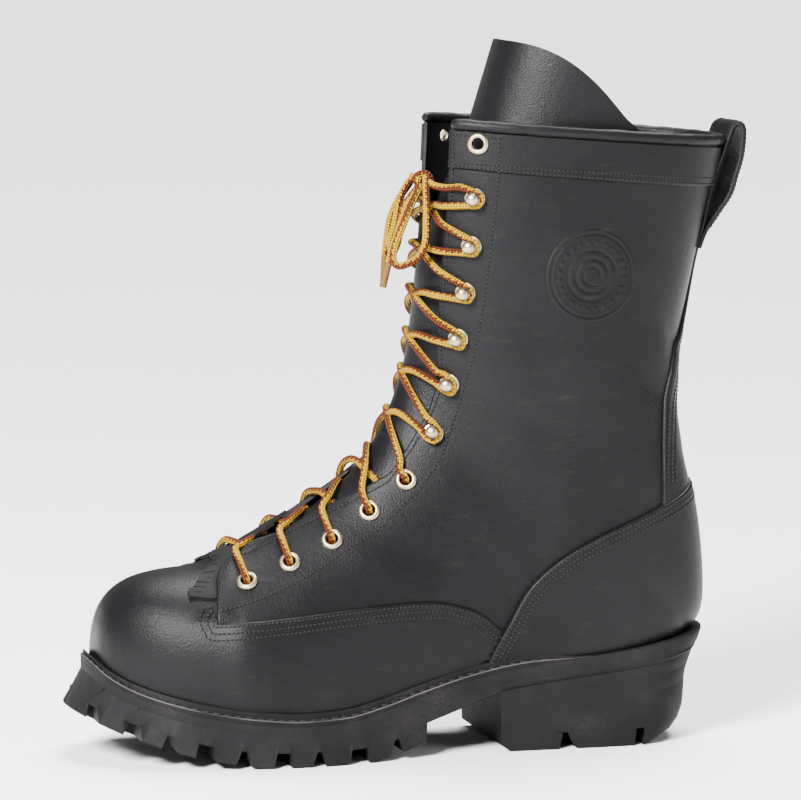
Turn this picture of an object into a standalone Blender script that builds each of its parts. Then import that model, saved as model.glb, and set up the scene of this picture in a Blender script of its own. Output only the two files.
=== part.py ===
"""A left wildland fire boot: a tall black leather upper on a welted, lugged rubber sole.

Sizes are millimetres in the tables and functions, and metres in the meshes.
+X points to the toe, +Y to the outer (left) side and +Z up. The floor is z = 0.
X = 0 is the back of the heel seat, and an empty moves the whole boot to its own middle.
"""

import bisect
import functools
import math

import bmesh
import bpy
from mathutils import Vector

# Driving sizes
MM = 0.001
GAP = 0.3
ORIGIN_X = 143.4
ORIGIN_Y = 0.675
UPPER_WALL = 2.5
OVERLAY = 1.9
WELT_INSET = 9.7
SWELL = 3.0
LACE_RADIUS = 1.7
TOE_ROUND = 95.0
HEEL_ROUND = 40.0
ROUND_POWER = 2.2
TOE_TURN_IN = 6.0

# Half widths of the sole from the middle line: distance from the heel, outer side, inner side
SOLE_PLAN = (
    (0.0, 40.0, 38.0),
    (40.0, 40.0, 38.0),
    (70.0, 40.5, 38.5),
    (100.0, 40.5, 36.5),
    (125.0, 42.0, 35.0),
    (150.0, 46.0, 37.5),
    (180.0, 52.5, 45.0),
    (205.0, 56.0, 51.5),
    (230.0, 56.5, 55.5),
    (255.0, 56.0, 57.0),
    (310.0, 52.0, 62.0),
)

# Height of the surface that the upper is lasted on: distance from the heel, height
SEAT = (
    (0.0, 53.5),
    (30.0, 48.8),
    (60.0, 45.0),
    (85.0, 42.2),
    (110.0, 38.8),
    (130.0, 34.6),
    (150.0, 29.4),
    (170.0, 23.8),
    (190.0, 19.8),
    (210.0, 18.8),
    (230.0, 19.8),
    (250.0, 22.0),
    (270.0, 25.5),
    (285.0, 29.5),
    (295.0, 33.5),
    (305.0, 39.5),
    (314.0, 46.0),
)

# Sections of the upper, fanned from the toe to the collar. Each one runs from the ridge over
# the foot to its end, on the seat in the foot and at the back in the leg.
# None takes the end from the seat, or the half widths from the sole's plan.
# ridge x, ridge z, end x, end z, outer half width, inner, widest at, front power, back power, throat
SECTIONS = (
    (297.3, 35.2, 297.3, None, None, None, 0.62, 2.5, 2.0, 10.5),
    (297.1, 48.0, 296.9, None, None, None, 0.62, 2.5, 2.0, 10.5),
    (296.2, 58.5, 296.0, None, None, None, 0.63, 2.5, 2.0, 10.5),
    (293.5, 68.0, 293.2, None, None, None, 0.64, 2.5, 2.0, 10.5),
    (287.5, 76.0, 287.5, None, None, None, 0.65, 2.5, 2.0, 10.5),
    (278.0, 81.5, 278.5, None, None, None, 0.66, 2.5, 2.0, 10.5),
    (265.0, 84.6, 266.0, None, None, None, 0.67, 2.4, 2.0, 10.5),
    (250.0, 86.5, 250.0, None, None, None, 0.68, 2.3, 2.0, 10.5),
    (236.0, 93.5, 231.0, None, 49.5, 47.5, 0.69, 2.2, 2.0, 10.5),
    (217.0, 105.5, 206.0, None, 48.5, 44.5, 0.70, 2.1, 2.0, 10.5),
    (196.0, 119.5, 176.0, None, 45.2, 39.5, 0.70, 2.05, 2.0, 13.0),
    (178.0, 134.5, 145.0, None, 41.4, 36.4, 0.685, 2.03, 2.05, 17.0),
    (167.5, 148.5, 112.0, None, 38.8, 35.4, 0.66, 2.05, 2.15, 21.0),
    (161.8, 159.5, 78.0, None, 37.6, 35.8, 0.625, 2.08, 2.3, 23.5),
    (158.3, 168.0, 50.0, None, 37.3, 36.4, 0.595, 2.1, 2.45, 25.5),
    (156.2, 174.0, 30.0, None, 37.3, 36.7, 0.57, 2.1, 2.6, 26.3),
    (154.9, 178.2, 17.0, None, 37.4, 36.9, 0.55, 2.1, 2.72, 26.8),
    (153.9, 181.7, 11.5, None, 37.5, 37.0, 0.538, 2.1, 2.8, 27.2),
    (153.0, 185.2, 5.6, 58.5, 37.7, 37.2, 0.53, 2.1, 2.85, 27.6),
    (152.2, 189.2, 4.0, 68.0, 37.9, 37.4, 0.522, 2.12, 2.85, 28.0),
    (151.3, 194.2, 4.5, 86.0, 38.1, 37.6, 0.514, 2.14, 2.82, 28.3),
    (150.3, 201.2, 8.0, 112.0, 38.4, 37.9, 0.507, 2.17, 2.76, 28.5),
    (149.0, 211.0, 14.0, 140.0, 38.8, 38.3, 0.502, 2.2, 2.68, 28.6),
    (147.4, 224.0, 16.5, 164.0, 39.6, 39.1, 0.50, 2.25, 2.6, 28.7),
    (145.8, 241.0, 14.5, 190.0, 41.0, 40.5, 0.50, 2.3, 2.5, 28.8),
    (144.2, 260.0, 8.2, 223.0, 42.5, 42.0, 0.50, 2.35, 2.45, 28.8),
    (143.0, 279.0, 0.5, 256.0, 43.5, 43.0, 0.50, 2.4, 2.4, 28.6),
    (142.5, 294.0, -6.5, 282.7, 44.0, 43.5, 0.50, 2.4, 2.4, 28.4),
)
HEEL_ROW = 17
TOP_ROW = len(SECTIONS) - 1

# The lace's fasteners on each side, from the toe up: kind, distance from the heel, height
FASTENERS = (
    ("eyelet", 232.5, 86.0),
    ("eyelet", 211.5, 96.0),
    ("eyelet", 192.0, 106.0),
    ("eyelet", 173.5, 119.0),
    ("eyelet", 156.5, 134.0),
    ("hook", 142.6, 155.0),
    ("hook", 135.0, 175.6),
    ("hook", 130.2, 197.0),
    ("hook", 127.2, 219.0),
    ("hook", 124.8, 241.0),
    ("hook", 123.2, 263.7),
    ("eyelet", 121.0, 287.5),
)

# Panel outlines seen from the side: distance from the heel, height
COUNTER_EDGE = (
    (121.0, 30.0),
    (116.0, 45.0),
    (107.0, 61.5),
    (97.0, 78.0),
    (82.0, 91.0),
    (61.0, 102.0),
    (34.5, 112.6),
    (7.7, 119.6),
    (-30.0, 123.0),
)
VAMP_EDGE = (
    (111.6, 60.0),
    (119.0, 66.0),
    (127.0, 70.0),
    (147.0, 74.0),
    (186.0, 70.7),
    (228.0, 65.0),
    (246.0, 62.5),
    (250.0, 64.0),
    (252.5, 75.0),
    (256.0, 84.0),
    (260.0, 100.0),
)
BACKSTAY_EDGE = (
    (25.7, 115.6),
    (24.5, 150.0),
    (22.5, 176.0),
    (12.0, 211.0),
    (5.0, 240.0),
    (-1.0, 266.4),
)
BAND_LOW = ((150.0, 279.2), (-40.0, 263.8))

# The pull loop's strap in the middle plane, from its inner foot over the top to its outer foot
PULL_LOOP = (
    (0.4, 241.0),
    (-2.5, 252.0),
    (-6.4, 264.0),
    (-11.0, 275.5),
    (-15.0, 285.0),
    (-17.4, 291.5),
    (-19.4, 295.6),
    (-22.4, 296.2),
    (-24.2, 292.5),
    (-23.4, 283.0),
    (-21.0, 272.0),
    (-16.8, 260.0),
    (-9.6, 248.5),
    (-2.6, 239.0),
    (1.6, 232.0),
)
PULL_LOOP_WIDTH = 24.0
PULL_LOOP_THICK = 2.2

# Notches between the side lugs of the forefoot: distance from the heel, width at the floor, at the top
NOTCHES = (
    (284.5, 7.0, 6.0),
    (269.8, 7.0, 2.0),
    (254.5, 8.0, 6.5),
    (238.1, 7.0, 2.0),
    (219.9, 8.0, 6.5),
    (202.8, 7.0, 2.0),
    (182.9, 10.0, 8.0),
    (164.0, 7.0, 2.0),
)
NOTCH_DEPTH = 7.0
NOTCH_REACH = 23.0
HEEL_NOTCHES = ((77.0, 8.0, 6.5), (42.0, 8.0, 6.5))

# Free lace: each route from the knot, as x, y, z
LACE_LOOP_OUTER = (
    (141.1, 5.8, 273.0),
    (144.6, 9.6, 267.5),
    (147.6, 15.0, 260.0),
    (148.8, 19.0, 250.0),
    (149.6, 21.4, 241.0),
    (152.6, 22.4, 234.5),
    (157.0, 21.6, 230.8),
    (161.2, 18.8, 231.4),
    (162.6, 16.0, 236.6),
    (160.0, 13.0, 246.0),
    (154.0, 9.6, 256.6),
    (147.8, 6.0, 263.6),
    (143.2, 3.0, 266.0),
)
LACE_LOOP_INNER = (
    (141.8, -5.6, 273.6),
    (146.6, -9.4, 269.0),
    (152.0, -12.0, 261.5),
    (155.2, -13.4, 250.0),
    (157.4, -13.4, 240.0),
    (158.4, -11.6, 233.6),
    (156.6, -9.2, 231.4),
    (154.6, -8.0, 236.0),
    (153.4, -7.6, 246.0),
    (150.8, -6.4, 256.0),
    (145.8, -4.4, 264.0),
)
LACE_END_OUTER = (
    (140.7, -0.8, 273.7),
    (144.6, -0.8, 266.4),
    (149.4, -1.0, 259.0),
    (152.6, -1.4, 249.5),
    (154.8, -1.8, 239.0),
    (156.8, -2.2, 229.0),
    (158.6, -2.6, 219.5),
)
LACE_END_INNER = (
    (140.6, -12.0, 272.8),
    (142.6, -12.2, 268.0),
    (147.6, -14.0, 260.0),
    (150.4, -18.6, 251.0),
    (151.4, -21.8, 240.5),
    (152.0, -23.6, 230.0),
    (152.2, -24.8, 220.0),
)


class Curve:
    """A smooth line through the rows of a table that does not overshoot between them."""

    def __init__(self, places, values):
        self.places = list(places)
        self.values = list(values)
        slopes = []
        for k in range(len(self.places) - 1):
            slopes.append((self.values[k + 1] - self.values[k]) / (self.places[k + 1] - self.places[k]))
        self.tangents = [slopes[0]]
        for before, after in zip(slopes, slopes[1:]):
            same_way = before * after > 0
            self.tangents.append(2 * before * after / (before + after) if same_way else 0.0)
        self.tangents.append(slopes[-1])

    def __call__(self, place):
        place = min(max(place, self.places[0]), self.places[-1])
        k = min(bisect.bisect_right(self.places, place), len(self.places) - 1) - 1
        span = self.places[k + 1] - self.places[k]
        u = (place - self.places[k]) / span
        rise = self.values[k + 1] - self.values[k]
        start = self.tangents[k] * span
        finish = self.tangents[k + 1] * span
        bend = (3 * rise - 2 * start - finish) * u**2 + (start + finish - 2 * rise) * u**3
        return self.values[k] + start * u + bend


def smooth(u):
    """A soft step from 0 to 1."""
    u = min(max(u, 0.0), 1.0)
    return u * u * (3 - 2 * u)


def blend(a, b, u):
    return a + (b - a) * u


OUTER_PLAN = Curve([row[0] for row in SOLE_PLAN], [row[1] for row in SOLE_PLAN])
INNER_PLAN = Curve([row[0] for row in SOLE_PLAN], [row[2] for row in SOLE_PLAN])
seat = Curve([row[0] for row in SEAT], [row[1] for row in SEAT])


def middle(x):
    """The middle line of the last, which turns inwards at the toe."""
    return -TOE_TURN_IN * smooth((x - 200.0) / 110.0)


def outline(x, side, heel_x, toe_x, inset, toe_round=TOE_ROUND):
    """Y of the rounded plan at x, on side 1 (outer) or -1 (inner)."""
    flank = (OUTER_PLAN(x) if side > 0 else -INNER_PLAN(x)) - side * inset
    toe_part = min(max((x - toe_x + toe_round) / toe_round, 0.0), 1.0)
    heel_part = min(max((heel_x + HEEL_ROUND - x) / HEEL_ROUND, 0.0), 1.0)
    fullness = (1 - toe_part**ROUND_POWER) ** (1 / ROUND_POWER)
    fullness *= (1 - heel_part**ROUND_POWER) ** (1 / ROUND_POWER)
    return middle(x) + (flank - middle(x)) * fullness


FEATHER_TOE = SECTIONS[0][0]
FEATHER_HEEL = SECTIONS[HEEL_ROW][2]
FEATHER_ROUND = TOE_ROUND - 5.0
SEAT_LEDGE_LESS = 3.2
SEAT_LEDGE_START = 130.0
SEAT_LEDGE_SPAN = 60.0


def ledge(x):
    """How far the sole's edge stands out past the line where the upper meets it."""
    return WELT_INSET - SEAT_LEDGE_LESS * smooth((SEAT_LEDGE_START - x) / SEAT_LEDGE_SPAN)


def feather(x, side):
    """Y of the line where the upper meets the sole."""
    return outline(x, side, FEATHER_HEEL, FEATHER_TOE, ledge(x), FEATHER_ROUND)


def section_columns():
    """The section table with its open places worked out, as one smooth curve for each column."""
    rows = []
    for ridge_x, ridge_z, end_x, end_z, outer, inner, widest, front, back, throat in SECTIONS:
        on_seat = end_z is None
        end_outer = feather(end_x, 1) if on_seat else 0.0
        end_inner = feather(end_x, -1) if on_seat else 0.0
        wide_outer = end_outer + SWELL if outer is None else outer
        wide_inner = end_inner - SWELL if inner is None else -inner
        height = seat(end_x) + GAP if on_seat else end_z
        ridge_y = middle(ridge_x)
        rows.append((ridge_x, ridge_z, ridge_y, end_x, height, end_outer, end_inner,
                     wide_outer, wide_inner, widest, front, back, throat))
    return [Curve(range(len(rows)), column) for column in zip(*rows)]


COLUMNS = section_columns()


@functools.lru_cache(maxsize=None)
def section(t):
    return tuple(column(t) for column in COLUMNS)


SLOT_LEAN = 0.7
SLOT_ROW = 7.0
SLOT_SPREAD = 1.4
SLOT_SIDE = 0.70


def slanted(t, s):
    """Sections near the quarters' front edge lean back towards the ridge, as that edge does."""
    near = max(0.0, 1 - ((t - SLOT_ROW) / SLOT_SPREAD) ** 2) ** 2
    return t + SLOT_LEAN * near * (1 - smooth((abs(s) - 0.1) / (SLOT_SIDE - 0.1)))


def skin(t, s):
    """The upper's outer face: t is the section, s runs from -2 (inner end) to 2 (outer end)."""
    t = slanted(t, s)
    (ridge_x, ridge_z, ridge_y, end_x, end_z, end_outer, end_inner,
     wide_outer, wide_inner, widest, front, back, throat) = section(t)
    wide = wide_outer if s >= 0 else wide_inner
    end_y = end_outer if s >= 0 else end_inner
    c = min(abs(s), 2.0)
    if c <= 1:
        turn = c * math.pi / 2
        along = widest * (1 - max(math.cos(turn), 0.0) ** (2 / front))
        y = ridge_y + (wide - ridge_y) * math.sin(turn) ** (2 / front)
    else:
        turn = (c - 1) * math.pi / 2
        along = widest + (1 - widest) * math.sin(turn) ** (2 / back)
        y = end_y + (wide - end_y) * max(math.cos(turn), 0.0) ** (2 / back)
    return Vector((blend(ridge_x, end_x, along), y, blend(ridge_z, end_z, along)))


@functools.lru_cache(maxsize=None)
def outward(t, s):
    """The skin's normal."""
    if t == 0:
        return Vector((1.0, 0.0, 0.0))
    step_t = 0.02
    step_s = 0.01
    along = skin(min(t + step_t, TOP_ROW), s) - skin(max(t - step_t, 0.0), s)
    if abs(s) > 2 - step_s and t >= HEEL_ROW:
        across = skin(t, -2 + step_s) - skin(t, 2 - step_s)
    else:
        across = skin(t, min(s + step_s, 2.0)) - skin(t, max(s - step_s, -2.0))
    normal = along.cross(across).normalized()
    row = section(t)
    heart = Vector((blend(row[0], row[3], 0.5), 0.0, blend(row[1], row[4], 0.5)))
    return normal if normal.dot(skin(t, s) - heart) > 0 else -normal


def throat_edge(t):
    """S of the quarter's edge at the throat."""
    row = section(t)
    share = min(row[12] / (row[7] - row[2]), 0.6)
    return math.asin(share ** (row[10] / 2)) * 2 / math.pi


SLOT_FRONT = 6.95
SLOT_REAR = 7.12
QUARTER_LIFT = 2.6
LIFT_END = 9.2


def quarter_lift(t, s):
    """How far the quarters' front tips stand off the vamp."""
    if t < SLOT_REAR:
        return 0.0
    edge = throat_edge(t)
    fade = 1 - smooth((t - SLOT_REAR) / (LIFT_END - SLOT_REAR))
    return QUARTER_LIFT * fade * (1 - smooth((abs(s) - edge) / (SLOT_SIDE - edge)))


def above_skin(t, s, height):
    """A point over the upper's outer face, never lower than the seat."""
    point = skin(t, s) + outward(t, s) * height
    point.z = max(point.z, seat(point.x) + GAP)
    return point


def on_upper(t, s, height):
    return above_skin(t, s, height + quarter_lift(t, s))


UPPER_STEPS = (0.33, 0.66, 1.0)
LOWER_STEPS = (0.25, 0.5, 0.72, 0.87, 1.0)
SIDE_COLUMNS = 2 + len(UPPER_STEPS) + len(LOWER_STEPS)
HEM_COLUMN = SIDE_COLUMNS - 2


def upper_columns(t):
    """S of the mesh columns of one section, from the inner end to the outer."""
    edge = throat_edge(t)
    half = [edge / 2, edge]
    half += [blend(edge, 1.0, step) for step in UPPER_STEPS]
    half += [1.0 + step for step in LOWER_STEPS]
    return [-s for s in reversed(half)] + [0.0] + half


def empty_parent():
    """The empty that carries the boot and sets its origin on the floor under its middle."""
    carrier = bpy.data.objects.new("boot", None)
    carrier.location = (-ORIGIN_X * MM, -ORIGIN_Y * MM, 0.0)
    bpy.context.scene.collection.objects.link(carrier)
    return carrier


def material(name, colour, roughness, metallic=0.0):
    finish = bpy.data.materials.new(name)
    finish.use_nodes = True
    shader = finish.node_tree.nodes["Principled BSDF"]
    shader.inputs["Base Color"].default_value = (*colour, 1.0)
    shader.inputs["Roughness"].default_value = roughness
    shader.inputs["Metallic"].default_value = metallic
    return finish


def place(name, data, finish, smooth_angle=None):
    """Puts a mesh or a curve into the boot."""
    obj = bpy.data.objects.new(name, data)
    bpy.context.scene.collection.objects.link(obj)
    obj.parent = BOOT
    data.materials.append(finish)
    if smooth_angle is not None:
        data.shade_smooth()
        data.set_sharp_from_angle(angle=math.radians(smooth_angle))
    return obj


def cutter(name, mesh):
    obj = place(name, mesh, CUT)
    obj.hide_render = True
    obj.display_type = "WIRE"
    return obj


def combine(obj, other, operation):
    step = obj.modifiers.new(operation.title(), "BOOLEAN")
    step.operation = operation
    step.solver = "EXACT"
    step.object = other


def finished(name, shape):
    """Turns a bmesh in millimetres into a mesh in metres with its faces pointing out."""
    bmesh.ops.recalc_face_normals(shape, faces=shape.faces)
    bmesh.ops.scale(shape, vec=(MM, MM, MM), verts=shape.verts)
    mesh = bpy.data.meshes.new(name)
    shape.to_mesh(mesh)
    shape.free()
    return mesh


def sheet(name, rows, columns, point, present, pole=False, closed_from=None):
    """A closed sheet of leather: an outer and an inner grid, with walls along every open edge.

    point(t, s, outer) places a corner, and present(i, j) tells which cells are leather.
    A pole draws the first row to one point, and rows from closed_from on meet at the back.
    """
    shape = bmesh.new()
    grid = [columns(t) for t in rows]
    last = len(grid[0]) - 1
    corners = {}

    def key(i, j):
        if pole and i == 0:
            return (0, 0)
        if closed_from is not None and rows[i] >= closed_from and j == 0:
            return (i, last)
        return (i, j)

    def corner(k, outer):
        if (k, outer) not in corners:
            i, j = k
            corners[k, outer] = shape.verts.new(point(rows[i], grid[i][j], outer))
        return corners[k, outer]

    def face(keys, outer):
        keys = list(dict.fromkeys(keys))
        if len(keys) == 3:
            shape.faces.new([corner(k, outer) for k in keys])

    borders = {}
    for i in range(len(rows) - 1):
        for j in range(last):
            if not present(i, j):
                continue
            loop = (key(i, j), key(i, j + 1), key(i + 1, j + 1), key(i + 1, j))
            for outer in (True, False):
                face((loop[0], loop[1], loop[2]), outer)
                face((loop[0], loop[2], loop[3]), outer)
            for a, b in zip(loop, loop[1:] + loop[:1]):
                if a == b:
                    continue
                if (b, a) in borders:
                    del borders[b, a]
                else:
                    borders[a, b] = True
    for a, b in borders:
        shape.faces.new((corner(a, True), corner(b, True), corner(b, False)))
        shape.faces.new((corner(a, True), corner(b, False), corner(a, False)))
    return finished(name, shape)


def prism(shape, points, low_y, high_y):
    """Adds a straight block across the boot, from a side outline of x, z points."""
    near = [shape.verts.new((x, low_y, z)) for x, z in points]
    far = [shape.verts.new((x, high_y, z)) for x, z in points]
    shape.faces.new(near)
    shape.faces.new(list(reversed(far)))
    for k in range(len(points)):
        after = (k + 1) % len(points)
        shape.faces.new((near[k], far[k], far[after], near[after]))


def side_cutter(name, points):
    shape = bmesh.new()
    prism(shape, points, -90.0, 90.0)
    return cutter(name, finished(name, shape))


def ladder(name, rings):
    """A closed solid through rings of the same number of corners, with flat ends."""
    shape = bmesh.new()
    loops = [[shape.verts.new(point) for point in ring] for ring in rings]
    for ring, after in zip(loops, loops[1:]):
        for k in range(len(ring)):
            other = (k + 1) % len(ring)
            shape.faces.new((ring[k], ring[other], after[other], after[k]))
    shape.faces.new(list(reversed(loops[0])))
    shape.faces.new(loops[-1])
    return finished(name, shape)


def stations(heel_x, toe_x, count_heel=5, step=13.0, count_toe=8):
    """Places along the sole, closer together on the round of the heel and of the toe."""
    places = []
    tip = 0.4
    for k in range(count_heel):
        places.append(heel_x + tip + HEEL_ROUND * (1 - math.cos(k / count_heel * math.pi / 2)))
    start = heel_x + HEEL_ROUND
    finish = toe_x - TOE_ROUND
    count = max(1, round((finish - start) / step))
    places += [blend(start, finish, k / count) for k in range(count)]
    for k in range(count_toe, -1, -1):
        places.append(toe_x - tip - (TOE_ROUND - tip) * (1 - math.cos(k / count_toe * math.pi / 2)))
    return places


SOLE_HEEL = 1.5
SOLE_TOE = 307.5
TREAD_TOE = 312.5
BALL_FLAT = (188.0, 228.0)
LUG_END = 149.0
SHANK_LOW = 17.0
SHANK_HIGH = 28.5
HEEL_BREAST = 110.0
HEEL_SEAT_LAYER = 2.5


def midsole_thickness(x):
    return blend(6.0, 4.5, smooth((x - 110.0) / 60.0))


def midsole_low(x):
    return seat(x) - midsole_thickness(x)


def tread(x):
    """Height of the tread over the floor: flat under the ball, with toe spring and a rise to the waist."""
    if x > BALL_FLAT[1]:
        return 0.003 * (x - BALL_FLAT[1]) ** 2
    if x < BALL_FLAT[0]:
        return 0.0053 * (BALL_FLAT[0] - x) ** 2
    return 0.0


def outsole_low(x):
    """The underside of the outsole: lugs, then the bare waist, then a thin layer over the heel."""
    if x >= LUG_END:
        return tread(x)
    if x > HEEL_BREAST:
        return blend(SHANK_HIGH, SHANK_LOW, (x - HEEL_BREAST) / (LUG_END - 1.0 - HEEL_BREAST))
    return midsole_low(x) - GAP - HEEL_SEAT_LAYER


def build_midsole():
    places = stations(SOLE_HEEL, SOLE_TOE)
    rings = []
    for x in places:
        outer = outline(x, 1, SOLE_HEEL, SOLE_TOE, 0.6)
        inner = outline(x, -1, SOLE_HEEL, SOLE_TOE, 0.6)
        top = seat(x)
        low = midsole_low(x)
        rings.append(((x, outer, low), (x, outer, top), (x, inner, top), (x, inner, low)))
    place("midsole", ladder("midsole", rings), RUBBER)


def notch_block(shape, x, floor_width, top_width, low, top, side, reach):
    """One notch between two lugs, cut in from the side of the sole."""
    edge = outline(x, side, SOLE_HEEL, TREAD_TOE, 0.0)
    ends = sorted((edge + side * 12.0, edge - side * reach))
    half_low = floor_width / 2
    half_top = top_width / 2
    points = ((x - half_low, low), (x + half_low, low), (x + half_top, top), (x - half_top, top))
    prism(shape, points, *ends)


GROOVE_Y = 25.0
GROOVE_WIDTH = 6.0
GROOVE_DEPTH = 6.0
BELOW_FLOOR = 6.0


def build_outsole():
    steps = (HEEL_BREAST - 0.5, HEEL_BREAST + 0.5, LUG_END - 1.0, LUG_END)
    top_places = list(steps)
    for x in stations(SOLE_HEEL, SOLE_TOE):
        if all(abs(x - step) > 3.0 for step in steps):
            top_places.append(x)
    top_places.sort()
    rings = []
    for x in top_places:
        forward = smooth((x - BALL_FLAT[1]) / (SOLE_TOE - BALL_FLAT[1]))
        low_x = x + (TREAD_TOE - SOLE_TOE) * forward
        top = midsole_low(x) - GAP
        low = outsole_low(low_x)
        ring = []
        for side, order in ((1, (0, 1)), (-1, (1, 0))):
            corners = (
                (low_x, outline(x, side, SOLE_HEEL, SOLE_TOE, -1.0), low),
                (x, outline(x, side, SOLE_HEEL, SOLE_TOE, 0.0), top),
            )
            ring += [corners[k] for k in order]
        rings.append(ring)
    outsole = place("outsole", ladder("outsole", rings), RUBBER)

    notches = bmesh.new()
    for x, floor_width, top_width in NOTCHES:
        for side in (1, -1):
            low = tread(x) - BELOW_FLOOR
            notch_block(notches, x, floor_width, top_width, low, tread(x) + NOTCH_DEPTH, side, NOTCH_REACH)
    combine(outsole, cutter("lug_notches", finished("lug_notches", notches)), "DIFFERENCE")

    grooves = bmesh.new()
    places = [blend(162.0, 282.0, k / 10) for k in range(11)]
    line = [(x, tread(x) + GROOVE_DEPTH) for x in places]
    line = [(places[0], -BELOW_FLOOR)] + line + [(places[-1], -BELOW_FLOOR)]
    for side in (1, -1):
        ends = sorted((side * GROOVE_Y, side * (GROOVE_Y - GROOVE_WIDTH)))
        prism(grooves, line, *ends)
    combine(outsole, cutter("lug_grooves", finished("lug_grooves", grooves)), "DIFFERENCE")

    crossings = bmesh.new()
    for x, floor_width, top_width in NOTCHES[2:8:2]:
        half = top_width / 2
        top = tread(x) + GROOVE_DEPTH - 0.5
        points = ((x - half, -BELOW_FLOOR), (x + half, -BELOW_FLOOR), (x + half, top), (x - half, top))
        prism(crossings, points, -GROOVE_Y + 2.0, GROOVE_Y - 2.0)
    combine(outsole, cutter("lug_crossings", finished("lug_crossings", crossings)), "DIFFERENCE")


HEEL_BACK_TOP = 3.0
HEEL_BACK_LOW = 15.0
HEEL_CHAMFER = 8.0
HEEL_NOTCH_REACH = 20.0
PAST_THE_TOE = 900.0


def build_heel():
    levels = (
        (0.0, HEEL_BACK_LOW, HEEL_BREAST - 6.5, 1.2),
        (HEEL_CHAMFER, blend(HEEL_BACK_LOW, HEEL_BACK_TOP, 0.2), HEEL_BREAST - 1.6, 0.6),
        (None, HEEL_BACK_TOP, HEEL_BREAST - 1.0, 0.0),
    )
    count = 12
    rings = []
    for k in range(count + 1):
        u = 1 - math.cos(k / count * math.pi / 2)
        outer_points = []
        inner_points = []
        for height, back, front, inset in levels:
            x = blend(back + 0.5, front, u)
            z = outsole_low(min(x, HEEL_BREAST - 0.5)) - GAP if height is None else height
            if height == 0.0:
                z = 0.06 * max(0.0, HEEL_BACK_LOW + 8.0 - x) ** 2
            outer_points.append((x, outline(x, 1, back, PAST_THE_TOE, inset), z))
            inner_points.append((x, outline(x, -1, back, PAST_THE_TOE, inset), z))
        rings.append(outer_points + list(reversed(inner_points)))
    heel = place("heel", ladder("heel", rings), RUBBER)
    notches = bmesh.new()
    for x, floor_width, top_width in HEEL_NOTCHES:
        for side in (1, -1):
            top = NOTCH_DEPTH + 1.0
            notch_block(notches, x, floor_width, top_width, -BELOW_FLOOR, top, side, HEEL_NOTCH_REACH)
    combine(heel, cutter("heel_notches", finished("heel_notches", notches)), "DIFFERENCE")


WELT_BACK = 72.0
WELT_THICK = 3.2
WELT_RIB = 4.8
WELT_CLEAR = 5.0
WELT_RIB_SHARE = 0.38
WAIST_X = 125.0
WAIST_SPREAD = 45.0
WAIST_BULGE_OUTER = 1.8
WAIST_BULGE_INNER = 3.2


def build_welt():
    """The strip sewn round the upper, with a rib against the leather and a flat ledge outside it."""
    toe_steps = 9
    rings = []
    for side in (1, -1):
        half = []
        for k in range(toe_steps):
            turn = (k + 0.35) / toe_steps * math.pi / 2
            share = 1 - math.cos(turn)
            in_x = FEATHER_TOE + WELT_CLEAR - FEATHER_ROUND * share
            half.append((in_x, SOLE_TOE - 0.2 - TOE_ROUND * share))
        steps = 9
        for k in range(1, steps + 1):
            last_in, last_out = half[toe_steps - 1]
            half.append((blend(last_in, WELT_BACK, k / steps), blend(last_out, WELT_BACK, k / steps)))
        strip = []
        for in_x, out_x in half:
            near_y = welt_inner(in_x, side)
            far_y = outline(out_x, side, SOLE_HEEL, SOLE_TOE, 0.3)
            strip.append(((in_x, near_y), (out_x, far_y)))
        rings.append(strip)
    line = list(reversed(rings[0])) + rings[1]
    solid = []
    for (in_x, in_y), (out_x, out_y) in line:
        middle_x = blend(in_x, out_x, WELT_RIB_SHARE)
        middle_y = blend(in_y, out_y, WELT_RIB_SHARE)
        solid.append((
            (in_x, in_y, seat(in_x) + GAP),
            (out_x, out_y, seat(out_x) + GAP),
            (out_x, out_y, seat(out_x) + WELT_THICK),
            (middle_x, middle_y, seat(middle_x) + WELT_THICK),
            (middle_x, middle_y, seat(middle_x) + WELT_RIB),
            (in_x, in_y, seat(in_x) + WELT_RIB),
        ))
    place("welt", ladder("welt", solid), RUBBER)


def welt_inner(x, side):
    """Y of the welt's inner edge, just clear of the panels, which bulge over it at the waist."""
    most = WAIST_BULGE_OUTER if side > 0 else WAIST_BULGE_INNER
    bulge = most * math.exp(-(((x - WAIST_X) / WAIST_SPREAD) ** 2))
    inset = ledge(x) - WELT_CLEAR - bulge
    return outline(x, side, FEATHER_HEEL, FEATHER_TOE + WELT_CLEAR + 0.4, inset, FEATHER_ROUND)


INSOLE_THICK = 3.0
INSOLE_INSET = 2.9


def build_insole():
    rings = []
    for x in stations(FEATHER_HEEL + INSOLE_INSET, FEATHER_TOE - INSOLE_INSET, 5, 18.0, 7):
        low = seat(x) + GAP + 0.1
        outer = outline_insole(x, 1)
        inner = outline_insole(x, -1)
        top = low + INSOLE_THICK
        rings.append(((x, outer, low), (x, outer, top), (x, inner, top), (x, inner, low)))
    place("insole", ladder("insole", rings), INSOLE)


def outline_insole(x, side):
    heel_x = FEATHER_HEEL + INSOLE_INSET
    toe_x = FEATHER_TOE - INSOLE_INSET
    return outline(x, side, heel_x, toe_x, ledge(x) + INSOLE_INSET, FEATHER_ROUND)


UPPER_ROWS = (
    [0, 1, 2, 3, 4, 5, 6, 6.5, SLOT_FRONT, SLOT_REAR, 7.5] + list(range(8, TOP_ROW + 1))
)
THROAT_START = 6.5


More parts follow.
